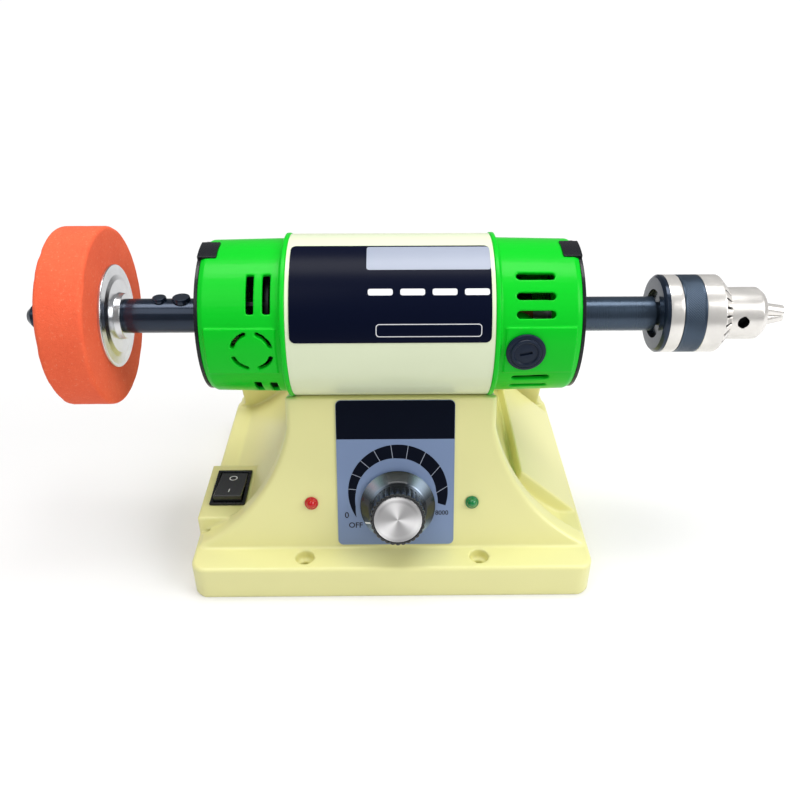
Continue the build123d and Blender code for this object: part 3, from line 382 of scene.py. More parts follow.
def plainMetalParts(place, s):
    # faint stains, and a fine grain for the roughness
    stain = place.noise(70, 4, 0.6)
    fine = place.noise(1800, 2)
    colour = stain.ramp(0.3, 0.7).blend(tinted(s, "colour", 0.88), tinted(s, "colour", 1.0))
    rough = stain * 0.12 + fine * 0.12 + (s["rough"] - 0.12)
    return {"Base Color": colour, "Roughness": rough, "height": fine}


def knobMetalParts(place, s):
    # metal turned about the knob's own axis: the mesh's u runs round it and its v outward from it.
    # fine rings, and lobes of painted sheen, a painted reflection in the colour: (sin(2 pi u lobes +
    # lobeTurn) / 2 + 1 / 2) to a power
    around, outward, _ = place.node("UVMap", uv_map="flat").xyz()
    rings = place.node("CombineXYZ", {0: outward * s["rings"]}).noise(1.0, 2, 0.6)
    wave = (around * (2 * np.pi * s["lobes"]) + s["lobeTurn"]).maths("SINE")
    paintedSheen = (wave * 0.5 + 0.5).maths("POWER", s["lobePower"])
    colour = paintedSheen.blend(tinted(s, "colour", s["dark"]), tinted(s, "colour", s["bright"]))
    rough = rings * s["roughSwing"] + (s["rough"] - s["roughSwing"] / 2)
    return {"Base Color": colour, "Roughness": rough, "height": rings}


recipes = {
    "cream_plastic": (mouldedParts, {"colour": (0.86, 0.83, 0.38), "rough": 0.33, "coat": 0.25,
                                     "coatRough": 0.2, "bump": 0.12, "bumpDepth": 0.08}),
    "cream_paint": (mouldedParts, {"colour": (0.80, 0.87, 0.62), "rough": 0.24, "ior": 1.35, "coat": 0.12,
                                   "bump": 0.08, "bumpDepth": 0.06, "roughSwing": 0.06}),
    "green_plastic": (mouldedParts, {"colour": (0.001, 0.59, 0.018), "rough": 0.3, "ior": 1.25,
                                     "coat": 0.04, "bump": 0.1, "bumpDepth": 0.06, "roughSwing": 0.08}),
    "black_plastic": (mouldedParts, {"colour": (0.010, 0.011, 0.015), "rough": 0.28, "ior": 1.35,
                                     "coat": 0.1, "bump": 0.08, "bumpDepth": 0.04}),
    "gloss_black": (mouldedParts, {"colour": (0.012, 0.014, 0.016), "rough": 0.2, "coat": 0.5,
                                   "bump": 0.1, "bumpDepth": 0.04, "roughSwing": 0.08}),
    "black_steel": (turnedParts, {"colour": (0.016, 0.03, 0.058), "rough": 0.22, "metal": 0.6,
                                  "coat": 0.3, "bump": 0.15, "bumpDepth": 0.03}),
    "label_film": (mouldedParts, {"colour": (0.002, 0.004, 0.017), "rough": 0.3, "ior": 1.18,
                                  "bump": 0.05, "roughSwing": 0.06}),
    "panel_film": (mouldedParts, {"colour": (0.20, 0.28, 0.47), "rough": 0.32, "coat": 0.2,
                                  "bump": 0.1, "peel": 1500}),
    "abrasive": (gritParts, {"colour": (1.0, 0.11, 0.036), "pale": (1.0, 0.165, 0.062),
                             "speck": (1.0, 0.36, 0.2), "rough": 0.85, "bump": 0.55, "bumpDepth": 0.25}),
    "zinc_steel": (turnedParts, {"colour": (0.80, 0.81, 0.83), "rough": 0.24, "metal": 1.0,
                                 "bump": 0.25, "bumpDepth": 0.03}),
    "chuck_steel": (turnedParts, {"colour": (0.94, 0.91, 0.87), "rough": 0.22, "metal": 0.62,
                                  "bump": 0.25, "bumpDepth": 0.03, "pitch": 7000}),
    "steel": (plainMetalParts, {"colour": (0.42, 0.43, 0.45), "rough": 0.4, "metal": 1.0, "bump": 0.1}),
    "bearing_steel": (turnedParts, {"colour": (0.62, 0.63, 0.65), "rough": 0.22, "metal": 1.0,
                                    "bump": 0.15, "bumpDepth": 0.02}),
    # the knob cap's colour carries lobes of painted sheen
    "aluminium": (knobMetalParts, {"colour": (1.0, 0.99, 1.0), "rough": 0.24, "metal": 0.62, "bump": 0.3,
                                   "bumpDepth": 0.02, "roughSwing": 0.16, "rings": 9000, "lobes": 3,
                                   "lobeTurn": 0.9, "lobePower": 1.6, "dark": 0.45, "bright": 1.0}),
    "copper": (plainMetalParts, {"colour": (0.36, 0.14, 0.055), "rough": 0.4, "metal": 1.0, "bump": 0.2}),
    "brass": (plainMetalParts, {"colour": (0.50, 0.33, 0.11), "rough": 0.35, "metal": 1.0, "bump": 0.1}),
    "carbon": (mouldedParts, {"colour": (0.03, 0.03, 0.03), "rough": 0.6}),
    "rubber": (mouldedParts, {"colour": (0.02, 0.02, 0.02), "rough": 0.75, "bump": 0.3}),
    "board": (mouldedParts, {"colour": (0.02, 0.12, 0.06), "rough": 0.4}),
    "red_lens": (mouldedParts, {"colour": (0.58, 0.0, 0.004), "rough": 0.1, "coat": 0.6, "bump": 0.05,
                                "roughSwing": 0.05}),
    "green_lens": (mouldedParts, {"colour": (0.0, 0.22, 0.05), "rough": 0.12, "coat": 0.8, "bump": 0.05,
                                  "roughSwing": 0.05}),
    "plated_steel": (plainMetalParts, {"colour": (0.66, 0.66, 0.68), "rough": 0.32, "metal": 1.0,
                                       "bump": 0.1}),
}
finishes = {slotName: finishFor(slotName, build, s) for slotName, (build, s) in recipes.items()}
for node, cad in nodes.items():
    setFinishes(cad.data, finishes[slotOf[node]])

inkRecipes = {
    "whiteInk": {"colour": (0.86, 0.87, 0.9), "rough": 0.35},
    "blackInk": {"colour": (0.002, 0.004, 0.012), "rough": 0.34, "ior": 1.18},
    "greyInk": {"colour": (0.36, 0.40, 0.50), "rough": 0.35},
    "darkInk": {"colour": (0.006, 0.008, 0.02), "rough": 0.4},
}
inks = {name: finishFor(name, mouldedParts, {**s, "bump": 0.05}) for name, s in inkRecipes.items()}

# finishes that only a part of a slot's faces or one piece of it shows
# the knob's skirt: dark turned metal whose colour carries bright lobes of painted sheen
skirtFinish = finishFor("knobSkirt", knobMetalParts, {
    "colour": (0.024, 0.030, 0.038), "rough": 0.26, "metal": 0.45, "coat": 0.4, "bump": 0.15,
    "bumpDepth": 0.02, "rings": 7000, "lobes": 4, "lobeTurn": 1.5 * np.pi, "lobePower": 3.0,
    "dark": 0.5, "bright": 17.0})
# a dark colour painted into bores and gashes as their shade
paintedShadeFinish = finishFor("boreShade", plainMetalParts, {
    "colour": (0.012, 0.012, 0.014), "rough": 0.5, "metal": 0.5, "bump": 0.1})
brushFinish = finishFor("brushMould", mouldedParts, {
    "colour": (0.008, 0.016, 0.036), "rough": 0.3, "ior": 1.3, "bump": 0.1})
bandFinish = finishFor("bandSteel", turnedParts, {
    "colour": (0.055, 0.085, 0.13), "rough": 0.3, "metal": 0.7, "coat": 0.2, "bump": 0.15,
    "bumpDepth": 0.03})
print("finishes and inks made:", len(finishes), len(inks))


# films and printing, worked out flat as (u, v) in mm and then laid onto a surface
cornerPoints = 7  # on each rounded corner


def patchRows(width, height, corner, across, along):
    # rows of a rounded rectangle, centred on 0: each row is as wide as the corner arcs let it be
    a = np.linspace(0, 90, cornerPoints)
    low = corner * (1 - cosDeg(a))
    rows = np.concatenate([low, np.linspace(corner, height - corner, along)[1:-1], height - low[::-1]])
    depth = np.clip(corner - np.minimum(rows, height - rows), 0, corner)
    half = width / 2 - (corner - np.sqrt(np.maximum(corner ** 2 - depth ** 2, 0)))
    u = half[:, None] * np.linspace(-1, 1, across)
    v = np.repeat((rows - height / 2)[:, None], across, 1)
    return u, v


def film(name, u, v, mapping, lift, finish, cadNode=None):
    # a patch lifted off its surface; one that stands for a CAD plate has its edge run down to the surface
    rows, columns = u.shape
    points = mapping(u, v, lift).reshape(-1, 3)
    faces = gridFaces(rows, columns)
    uv = np.stack([u.ravel(), v.ravel()], -1)
    if cadNode:
        index = np.arange(rows * columns).reshape(rows, columns)
        edge = np.concatenate([index[0], index[1:, -1], index[-1, -2::-1], index[-2:0:-1, 0]])
        down = len(points) + np.arange(len(edge))
        points = np.concatenate([points, mapping(*uv[edge].T, 0)])
        faces = np.concatenate([faces, np.stack([edge, down, np.roll(down, -1), np.roll(edge, -1)], -1)])
        uv = np.concatenate([uv, uv[edge]])
    mesh = meshFrom(name, points, faces, uv * mm)
    smoothShade(mesh, 40)
    pieceOf(name, mesh, finish, "machine", cadNode)


# the tube and the label on it: labelLow and labelHigh are degrees up from the front, the rest is in mm
tube = {"r": 44.3, "labelLow": 8.0, "labelHigh": 79.0, "labelHalf": 51.0, "labelThick": 0.4,
        "labelCorner": 3.0}
labelLow = np.radians(tube["labelLow"]) * tube["r"]
labelTop = np.radians(tube["labelHigh"]) * tube["r"]
inkAbove = 0.05  # how far printing stands off its film


def onTube(u, v, lift):
    # u along the spindle, v up the tube's front from the motor's height, both in mm
    r = tube["r"] + lift
    a = v / tube["r"]
    return np.stack([u * mm, motorY - r * np.cos(a) * mm, motorZ + r * np.sin(a) * mm], -1)


u, v = patchRows(tube["labelHalf"] * 2, labelTop - labelLow, tube["labelCorner"], 30, 24)
film("labelPlate", u, v + (labelLow + labelTop) / 2, onTube, tube["labelThick"], finishes["label_film"],
     "label_plate")

# the label's plain boxes, by the middle of each
boxes = {
    "pale": {"u": 19.5, "v": labelTop - 9.2, "size": (63, 16.0), "corner": 1.5},
    "rating": {"u": -5.0, "v": labelLow + 25.6, "size": (12.5, 3.4), "corner": 1.1, "step": 16.2,
               "count": 4},
    "foot": {"u": 19.3, "v": labelLow + 6.4, "size": (53.5, 6.6), "corner": 1.8, "line": 0.4},
}
labelInkLift = tube["labelThick"] + inkAbove


def printedBox(name, box, ink, shift=0.0, across=12, along=6):
    u, v = patchRows(*box["size"], box["corner"], across, along)
    film(name, u + box["u"] + shift, v + box["v"], onTube, labelInkLift, inks[ink])


def outlinedBox(name, box, ink):
    # a closed line round a rounded rectangle: outer and inner loops at the same corner angles
    width, height = box["size"]
    corner = box["corner"]
    quarters = [np.linspace(k * 90, k * 90 + 90, cornerPoints) for k in range(4)]
    a = np.concatenate(quarters)
    sideU = np.repeat([1, -1, -1, 1], cornerPoints)
    sideV = np.repeat([1, 1, -1, -1], cornerPoints)
    r = np.array([[corner], [corner - box["line"]]])
    u = box["u"] + sideU * (width / 2 - corner) + r * cosDeg(a)
    v = box["v"] + sideV * (height / 2 - corner) + r * sinDeg(a)
    mesh = meshFrom(name, onTube(u, v, labelInkLift), gridFaces(2, len(a), wrapColumns=True)[:, ::-1])
    pieceOf(name, mesh, inks[ink], "machine")


printedBox("paleBlock", boxes["pale"], "greyInk", across=24, along=8)
for k in range(boxes["rating"]["count"]):
    printedBox("ratingBox%d" % k, boxes["rating"], "whiteInk", shift=k * boxes["rating"]["step"])
outlinedBox("footBox", boxes["foot"], "whiteInk")
print("label plate done")


# control plate on the base's front slope, with the knob's centre as its (0, 0)
slope = {"x": 3.4, "z": 46.8, "deg": 72.0, "footY": -72.0, "footZ": 21.7}
slope["y"] = slope["footY"] + (slope["z"] - slope["footZ"]) / np.tan(np.radians(slope["deg"]))
rise = sinDeg(slope["deg"])


def onSlope(u, v, lift):
    # u to the right of the knob's centre, v up the front slope from it, both in mm
    y = slope["y"] + v * cosDeg(slope["deg"]) - lift * sinDeg(slope["deg"])
    z = slope["z"] + v * sinDeg(slope["deg"]) + lift * cosDeg(slope["deg"])
    return np.stack([(slope["x"] + u) * mm, y * mm, z * mm], -1)


panel = {"half": 33.3, "low": 23.6, "high": 105.9, "split": 84.4, "corner": 3.0, "thick": 0.8,
         "middleX": 2.3, "headerInset": 0.15}
panelHeight = (panel["high"] - panel["low"]) / rise
panelU = panel["middleX"] - slope["x"]
panelV = ((panel["high"] + panel["low"]) / 2 - slope["z"]) / rise
inkLift = panel["thick"] + inkAbove
u, v = patchRows(panel["half"] * 2, panelHeight, panel["corner"], 12, 12)
film("controlPlate", u + panelU, v + panelV, onSlope, panel["thick"], finishes["panel_film"],
     "control_plate")

# the header is the part of the plate's own outline, drawn in a little, that lies above the split
splitV = (panel["split"] - slope["z"]) / rise
inset = 2 * panel["headerInset"]
u, v = patchRows(panel["half"] * 2 - inset, panelHeight - inset, panel["corner"], 12, 60)
v = np.clip(v + panelV, splitV, None)
firstRow = int(np.argmax(v[:, 0] > splitV)) - 1
film("blackHeader", u[firstRow:] + panelU, v[firstRow:], onSlope, inkLift, inks["blackInk"])

# the scale: outer edge a circle, width growing clockwise from a point
scaleRing = {"u": 0.2, "v": 7.9, "r": 28.4, "from": 213.0, "to": -17.0,
             "angles": [-17, 0, 45, 90, 135, 180, 200, 213],
             "widths": [4.6, 6.6, 7.8, 8.2, 6.8, 4.4, 2.6, 0.0],
             "ticks": (176, 157, 138, 118.5, 98, 78, 56.5, 33, 7), "tickHalf": 0.17, "tickLift": 0.04,
             "leanPer": 9}


def onRing(r, deg):
    return scaleRing["u"] + r * cosDeg(deg), scaleRing["v"] + r * sinDeg(deg)


angle = np.linspace(scaleRing["from"], scaleRing["to"], 140)
width = np.interp(angle, scaleRing["angles"], scaleRing["widths"])
u, v = onRing(scaleRing["r"] - width * np.linspace(0, 1, 5)[:, None], angle)
mesh = meshFrom("speedScale", onSlope(u, v, inkLift), gridFaces(*u.shape))
pieceOf("speedScale", mesh, inks["blackInk"], "machine")
for k, deg in enumerate(scaleRing["ticks"]):
    # a tick right of the top leans: its inner end lies a degree further round per 9 degrees from the top
    lean = max(0, (90 - deg) / scaleRing["leanPer"])
    width = np.interp(deg, scaleRing["angles"], scaleRing["widths"])
    outer = np.array(onRing(scaleRing["r"], deg))
    inner = np.array(onRing(scaleRing["r"] - width, deg - lean))
    way = (inner - outer) / np.hypot(*(inner - outer))
    half = np.array([-way[1], way[0]]) * scaleRing["tickHalf"]
    u, v = np.array([outer - half, outer + half, inner + half, inner - half]).T
    mesh = meshFrom("scaleLine", onSlope(u, v, inkLift + scaleRing["tickLift"]), [[0, 3, 2, 1]])
    pieceOf("scaleLine%d" % k, mesh, inks["greyInk"], "machine")

# words on the scale: height of the letters, then the place of their middle
scaleWords = {"scaleZero": ("0", 5.0, -29.2, -6.2), "scaleOff": ("OFF", 4.6, -24.2, -12.4),
              "scaleEnd": ("8000", 3.8, 25.3, -5.0)}
boldness = 0.018  # how far the letters are swollen, as a share of their height


def lettering(name, words, size, centreU, centreV):
    # Blender's own font, made a mesh and laid on the control plate
    curve = bpy.data.curves.new(name, "FONT")
    curve.body = words
    curve.size = size
    curve.align_x = "CENTER"
    curve.align_y = "CENTER"
    curve.resolution_u = 4
    curve.offset = size * boldness
    holder = newObject(name, curve)
    shape = evaluated(holder)
    bpy.data.objects.remove(holder)
    flat = np.array([p.co for p in shape.vertices]).reshape(-1, 3)
    faces = [list(f.vertices) for f in shape.polygons]
    bpy.data.meshes.remove(shape)
    points = onSlope(flat[:, 0] + centreU, flat[:, 1] + centreV, inkLift)
    mesh = bpy.data.meshes.new(name)
    mesh.from_pydata(points.tolist(), [], faces)
    pieceOf(name, mesh, inks["darkInk"], "machine")


for name, (words, size, centreU, centreV) in scaleWords.items():
    lettering(name, words, size, centreU, centreV)
print("control plate done")


# rocker marks
rocker = {"x": -98.9, "y": -30.6, "z": 32.5, "tilt": -9.0, "middle": 2.4, "end": 3.2, "half": 13.9,
          "offMiddle": 7.6, "offRings": (2.5, 1.9), "onFrom": -9.6, "onTo": -5.4, "onHalf": 0.3}


def onRocker(u, v):
    # v runs back from the pin along the rocker's dished top, which is turned about the pin at rest
    height = rocker["middle"] + (rocker["end"] - rocker["middle"]) * np.abs(v) / rocker["half"] + inkAbove
    y = v * cosDeg(rocker["tilt"]) - height * sinDeg(rocker["tilt"])
    z = v * sinDeg(rocker["tilt"]) + height * cosDeg(rocker["tilt"])
    return np.stack([(rocker["x"] + u) * mm, (rocker["y"] + y) * mm, (rocker["z"] + z) * mm], -1)


a = np.linspace(0, 2 * np.pi, 48, endpoint=False)
r = np.array(rocker["offRings"])[:, None]
mesh = meshFrom("offMark", onRocker(r * np.cos(a), rocker["offMiddle"] + r * np.sin(a)),
                gridFaces(2, len(a), wrapColumns=True)[:, ::-1])
pieceOf("offMark", mesh, inks["whiteInk"], "rocker")
u = np.array([-1, 1, 1, -1]) * rocker["onHalf"]
v = np.array([rocker["onFrom"], rocker["onFrom"], rocker["onTo"], rocker["onTo"]])
mesh = meshFrom("onMark", onRocker(u, v), [[0, 1, 2, 3]])
pieceOf("onMark", mesh, inks["whiteInk"], "rocker")
print("rocker marks done")


# knob
knob = {"gap": 0.6, "skirtR": 21.5, "edge": 1.6, "shoulderR": 16.3, "shoulderH": 8.0, "gripR": 15.3,
        "height": 21.7, "flutes": 30, "fluteR": 0.8, "capR": 13.3, "capDepth": 0.8,
        "pointerDeg": 207.0, "pointerHalf": 0.6, "pointerLift": 0.75, "pointerShares": (0.12, 0.92)}
foot = panel["thick"] + knob["gap"]
shoulder = panel["thick"] + knob["shoulderH"]
top = panel["thick"] + knob["height"]
capFloor = top - knob["capDepth"]
slopeOut = np.array([0, -sinDeg(slope["deg"]), cosDeg(slope["deg"])])
slopeUp = np.array([0, cosDeg(slope["deg"]), sinDeg(slope["deg"])])
knobCentre = (slope["x"] * mm, slope["y"] * mm, slope["z"] * mm)
knobPlace = (knobCentre, slopeOut, slopeUp)


def flutes(h, r, t):
    # the grip's outer wall swings between its crests and hollows; the skirt stays round
    wall = (h > shoulder + 0.4) & (r > knob["gripR"] - 1.5)
    wave = np.abs(np.cos(t * knob["flutes"] / 2)) ** 0.7
    return h, np.where(wall, r - knob["fluteR"] * (1 - wave), r)


line = rounded([(foot, 0), (foot, knob["skirtR"] - 0.8, 0.3), (foot + knob["edge"], knob["skirtR"], 0.6),
                (shoulder, knob["shoulderR"], 1.5), (shoulder + 0.3, knob["gripR"] - 0.6, 0.2),
                (shoulder + 0.6, knob["gripR"], 0.2), (top, knob["gripR"], 0.9),
                (top, knob["capR"] + 0.5, 0.3), (capFloor, knob["capR"] + 0.1, 0.1), (capFloor, 0)], 5)
mesh = spunMesh("knobBody", refined(line, 1.2), 360, knobPlace, 38, flutes)
pieceOf("knobBody", mesh, finishes["gloss_black"], "knob", "speed_knob")
# the cone's faces, told by their distance from the panel, take the turned dark finish with its painted
# sheen lobes
setFinishes(mesh, finishes["gloss_black"], skirtFinish)
height = (faceCentres(mesh) - knobCentre) @ slopeOut / mm
finishFaces(mesh, (height > foot + 0.6) & (height < shoulder + 0.2))

line = rounded([(capFloor, knob["capR"]), (top - 0.05, knob["capR"], 0.35),
                (top - 0.12, knob["capR"] - 1.6), (top, knob["capR"] - 3.2), (top, 0.001)])
mesh = spunMesh("knobCap", refined(line, 0.6), 256, knobPlace, 38)
pieceOf("knobCap", mesh, finishes["aluminium"], "knob", "knob_cap")

# the pointer: a short white bar lying on the skirt's cone
radial = np.array([cosDeg(knob["pointerDeg"]), sinDeg(knob["pointerDeg"])])
sideways = np.array([-radial[1], radial[0]])
coneRise = (knob["shoulderH"] - knob["edge"]) / (knob["skirtR"] - knob["shoulderR"])
s, t = np.meshgrid(np.linspace(*knob["pointerShares"], 8),
                   np.linspace(-knob["pointerHalf"], knob["pointerHalf"], 4), indexing="ij")
r = knob["skirtR"] + (knob["shoulderR"] - knob["skirtR"]) * s
lift = panel["thick"] + knob["edge"] + (knob["skirtR"] - r) * coneRise + knob["pointerLift"]
flat = r[..., None] * radial + t[..., None] * sideways
mesh = meshFrom("pointer", onSlope(flat[..., 0], flat[..., 1], lift), gridFaces(*s.shape))
pieceOf("pointer", mesh, inks["whiteInk"], "knob")
print("knob done")


# grinding wheel and flanges
wheelLow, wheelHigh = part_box("grinding_wheel")
wheel = {"left": wheelLow.x / mm, "right": wheelHigh.x / mm, "r": (wheelHigh.z - motorZ) / mm, "bore": 10.0,
         "edge": 2.2, "grain": 0.09, "wave": 0.12, "sink": 0.22, "chip": 1.6, "rimReach": 1.6}


def worn(h, r, t):
    # grains stand out a little everywhere and the two rims are chipped. The surface is sunk by more
    # than the grains rise, so the wheel keeps within its true size
    rough = ripple(h.shape, 3, 2.5) * wheel["grain"] + ripple(h.shape, 4, 12) * wheel["wave"]
    fromSide = np.minimum(h - wheel["left"], wheel["right"] - h)
    rim = np.exp(-(((wheel["r"] - r) ** 2 + fromSide ** 2) / wheel["rimReach"] ** 2))
    chips = np.clip(ripple(h.shape, 5, 5) - 0.25, 0, 1) * rim * wheel["chip"]
    outward = np.where(fromSide > 0.8, 1.0, 0.4)
    side = np.where(h > (wheel["left"] + wheel["right"]) / 2, 1.0, -1.0) * (1 - outward)
    return h + side * (rough - chips - wheel["sink"]), r + outward * (rough - wheel["sink"]) - chips


line = [(wheel["left"], wheel["bore"]), (wheel["left"], wheel["r"], wheel["edge"]),
        (wheel["right"], wheel["r"], wheel["edge"]), (wheel["right"], wheel["bore"])]
mesh = onSpindle("wheelBody", line, 480, 0.9, worn, 180)
pieceOf("wheelBody", mesh, finishes["abrasive"], "rotor", "grinding_wheel")

# each flange is a dished disc: steps of (distance from the wheel, radius, fillet)
flange = {"bore": 6.0, "r": 28.3, "rim": 1.6, "ring": 20.0, "ringDepth": 1.4, "hub": 13.0, "hubTop": 12.5}
flangeFace = flange["rim"] + flange["ringDepth"] - 0.2
disc = [(0, flange["bore"]), (0, flange["r"]), (flange["rim"], flange["r"], 0.5),
        (flange["rim"] - 0.3, flange["r"] - 1.8, 0.3), (flange["rim"] + 0.1, flange["ring"] + 2.5, 0.6),
        (flangeFace, flange["ring"], 0.6), (flangeFace, flange["hub"], 0.3)]
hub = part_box("inner_flange")[1].x / mm - wheel["right"]
boss = flange["rim"] + flange["ringDepth"]
ends = {"inner": (wheel["right"], 1, [(hub, flange["hubTop"], 0.4), (hub, flange["bore"])]),
        "outer": (wheel["left"], -1, [(boss, flange["hub"] - 1), (boss, flange["bore"])])}
for which, (x, way, end) in ends.items():
    line = [(x + way * step, *rest) for step, *rest in disc + end]
    mesh = onSpindle(which + "Flange", line, sharpDeg=40)
    if way > 0:
        mesh.flip_normals()
    pieceOf(which + "Flange", mesh, finishes["zinc_steel"], "rotor", which + "_flange")
print("wheel done")


# chuck: x values are places along the spindle, all in mm
ringLow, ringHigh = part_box("chuck_rear_ring")
chuck = {
    "r": (ringHigh.z - motorZ) / mm, "back": ringLow.x / mm, "ringEnd": ringHigh.x / mm, "ringEdge": 1.5,
    "neckR": 13.5, "neckBore": 6.6, "recess": 2.5, "collarEnd": 156.4, "coreR": 18.5, "coreEnd": 179.6,
    "noseR": 14.5, "noseEnd": 202.0, "taperLong": 3.0, "taperIn": 2.2, "coneEnd": 207.0, "coneR": 8.2,
    "bore": 3.4, "wallShare": 1.02,
    "jawR": 3.6, "jawRoom": 0.05, "jawTilt": 12.0, "jawTip": 217.0, "jawTipR": 1.2, "jawAhead": 4.0,
    "boreReach": 65.0, "jawDegs": (65.0, 185.0, 305.0),
    "keyX": 191.2, "keyR": 3.2, "keyFloorR": 9.6, "keyReach": 22, "holeRim": 0.3,
}
line = [(chuck["back"], chuck["neckR"]), (chuck["back"], chuck["r"] - chuck["ringEdge"], 0.3),
        (chuck["back"] + chuck["ringEdge"], chuck["r"], 0.6), (chuck["ringEnd"], chuck["r"]),
        (chuck["ringEnd"], chuck["neckR"]), (chuck["back"], chuck["neckR"])]
mesh = onSpindle("rearRing", line, 256, sharpDeg=40)
pieceOf("rearRing", mesh, finishes["black_steel"], "rotor", "chuck_rear_ring")


def rodMesh(name, centre, along, r, low, high, segments=64):
    # a plain round cutter with flat ends, from one distance to another along its axis
    along = np.array(along, float) / np.linalg.norm(along)
    up = np.cross(along, (0.3, 0.9, 0.31))
    up /= np.linalg.norm(up)
    points = spun(np.array([[low, r], [high, r]]), segments, centre, along, up)[0]
    faces = gridFaces(2, segments, wrapColumns=True)[:, ::-1].tolist()
    faces.append(list(range(segments)))
    faces.append(list(range(segments, 2 * segments))[::-1])
    mesh = bpy.data.meshes.new(name)
    mesh.from_pydata(points.reshape(-1, 3).tolist(), [], faces)
    return mesh


def cutFrom(piece, cutters):
    # subtracts each cutter mesh in turn and keeps the result as the piece's own mesh
    holders = []
    for k, cutter in enumerate(cutters):
        holder = newObject("cutter%d" % k, cutter)
        holders.append(holder)
        cut = piece.modifiers.new("cut%d" % k, "BOOLEAN")
        cut.operation = "DIFFERENCE"
        cut.object = holder
        cut.solver = "EXACT"
    shape = applyModifiers(piece)
    for holder in holders:
        bpy.data.objects.remove(holder)
    return shape


neckX = chuck["back"] + chuck["recess"]
neckR = chuck["neckR"] - 0.1
line = [(neckX, chuck["neckBore"]), (neckX, neckR, 0.3), (chuck["ringEnd"], neckR),
        (chuck["ringEnd"], chuck["r"], 0.25), (chuck["collarEnd"], chuck["r"], 0.25),
        (chuck["collarEnd"], chuck["coreR"]), (chuck["coreEnd"], chuck["coreR"]),
        (chuck["coreEnd"], chuck["noseR"]), (chuck["noseEnd"], chuck["noseR"], 1.2),
        (chuck["noseEnd"] + chuck["taperLong"], chuck["noseR"] - chuck["taperIn"], 3.0),
        (chuck["coneEnd"], chuck["coneR"], 0.5),
        (chuck["coneEnd"], chuck["bore"]), (neckX, chuck["bore"]), (neckX, chuck["neckBore"])]
mesh = onSpindle("chuckBody", line, 288, 2.0)
piece = pieceOf("chuckBody", mesh, finishes["chuck_steel"], "rotor", "chuck_body")
mergePoints(mesh, 1e-6, outward=True)

# a leaning bore for each jaw, and a key hole halfway between each two
bores = []
for deg in chuck["jawDegs"]:
    out = np.array([0, -cosDeg(deg), sinDeg(deg)])
    back = np.array([-1, 0, 0]) * cosDeg(chuck["jawTilt"]) + out * sinDeg(chuck["jawTilt"])
    tip = np.array([chuck["jawTip"] * mm, motorY, motorZ]) + out * chuck["jawTipR"] * mm
    bores.append((tip, back, chuck["jawR"] + chuck["jawRoom"], -chuck["jawAhead"], chuck["boreReach"]))
    out = np.array([0, -cosDeg(deg + 60), sinDeg(deg + 60)])
    middle = np.array([chuck["keyX"] * mm, motorY, motorZ])
    bores.append((middle, out, chuck["keyR"], chuck["keyFloorR"], chuck["keyReach"]))
shape = cutFrom(piece, [rodMesh("bore%d" % k, *bore) for k, bore in enumerate(bores)])
setFinishes(shape, finishes["chuck_steel"], paintedShadeFinish, finishes["black_steel"])
smoothShade(shape, 30)

# the walls of the holes are painted dark as their shade: they are the faces within wallShare of a hole's
# own radius.
# The neck, behind the front of the rear ring, is black
centres = faceCentres(shape)
fromAxis = centres - (0, motorY, motorZ)
inBore = np.hypot(fromAxis[:, 1], fromAxis[:, 2]) < chuck["bore"] * chuck["wallShare"] * mm
for start, way, r, low, high in bores:
    offset = centres - start
    along = offset @ way
    away = np.linalg.norm(offset - along[:, None] * way, axis=1)
    inBore |= (away < r * chuck["wallShare"] * mm) & (along > -(chuck["jawAhead"] + 0.5) * mm)
behind = centres[:, 0] < (chuck["ringEnd"] - 0.05) * mm
finishFaces(shape, np.where(inBore, 1, np.where(behind, 2, 0)))
rim = piece.modifiers.new("holeRims", "BEVEL")
rim.width = chuck["holeRim"] * mm
rim.segments = 3
rim.limit_method = "ANGLE"
rim.angle_limit = np.radians(50)

sleeve = {"start": chuck["collarEnd"] + 0.4, "bandEnd": 168.6, "bandSeat": 0.95, "end": 184.4,
          "frontR": 15.9, "chamfer": 179.2, "room": 0.08, "teeth": 26, "toothWide": 1.7, "toothDeep": 1.3,
          # the last share is the width of painted shade on each gash floor
          "cutShares": (0.75, 0.6), "paintedShadeShare": 0.36}


def fromGash(turn, r):
    # the distance in mm, round the sleeve, to the nearest gash's middle line
    count = turn * sleeve["teeth"] / (2 * np.pi)
    return np.abs(count - np.round(count)) * 2 * np.pi / sleeve["teeth"] * r


def bevelTeeth(h, r, t):
    # V gashes down the front cone: depth falls off to each side of every gash's middle line
    onCone = (h > sleeve["chamfer"] - 0.3) & (r > chuck["noseR"] + 1.0)
    deep = sleeve["toothDeep"] * np.clip(1 - fromGash(t, r) / (sleeve["toothWide"] / 2), 0, 1) * onCone
    alongShare, inwardShare = sleeve["cutShares"]
    return h - deep * alongShare, r - deep * inwardShare


innerR = chuck["noseR"] + sleeve["room"]
line = [(sleeve["start"], chuck["coreR"]), (sleeve["start"], chuck["r"] - sleeve["bandSeat"]),
        (sleeve["bandEnd"], chuck["r"] - sleeve["bandSeat"]), (sleeve["bandEnd"], chuck["r"], 0.25),
        (sleeve["chamfer"], chuck["r"], 1.5), (sleeve["end"], sleeve["frontR"], 0.3),
        (sleeve["end"], innerR), (chuck["coreEnd"] + 1, innerR)]
mesh = onSpindle("chuckSleeve", line, sleeve["teeth"] * 28, 0.35, bevelTeeth, 28)
pieceOf("chuckSleeve", mesh, finishes["chuck_steel"], "chuck_collar", "chuck_sleeve")
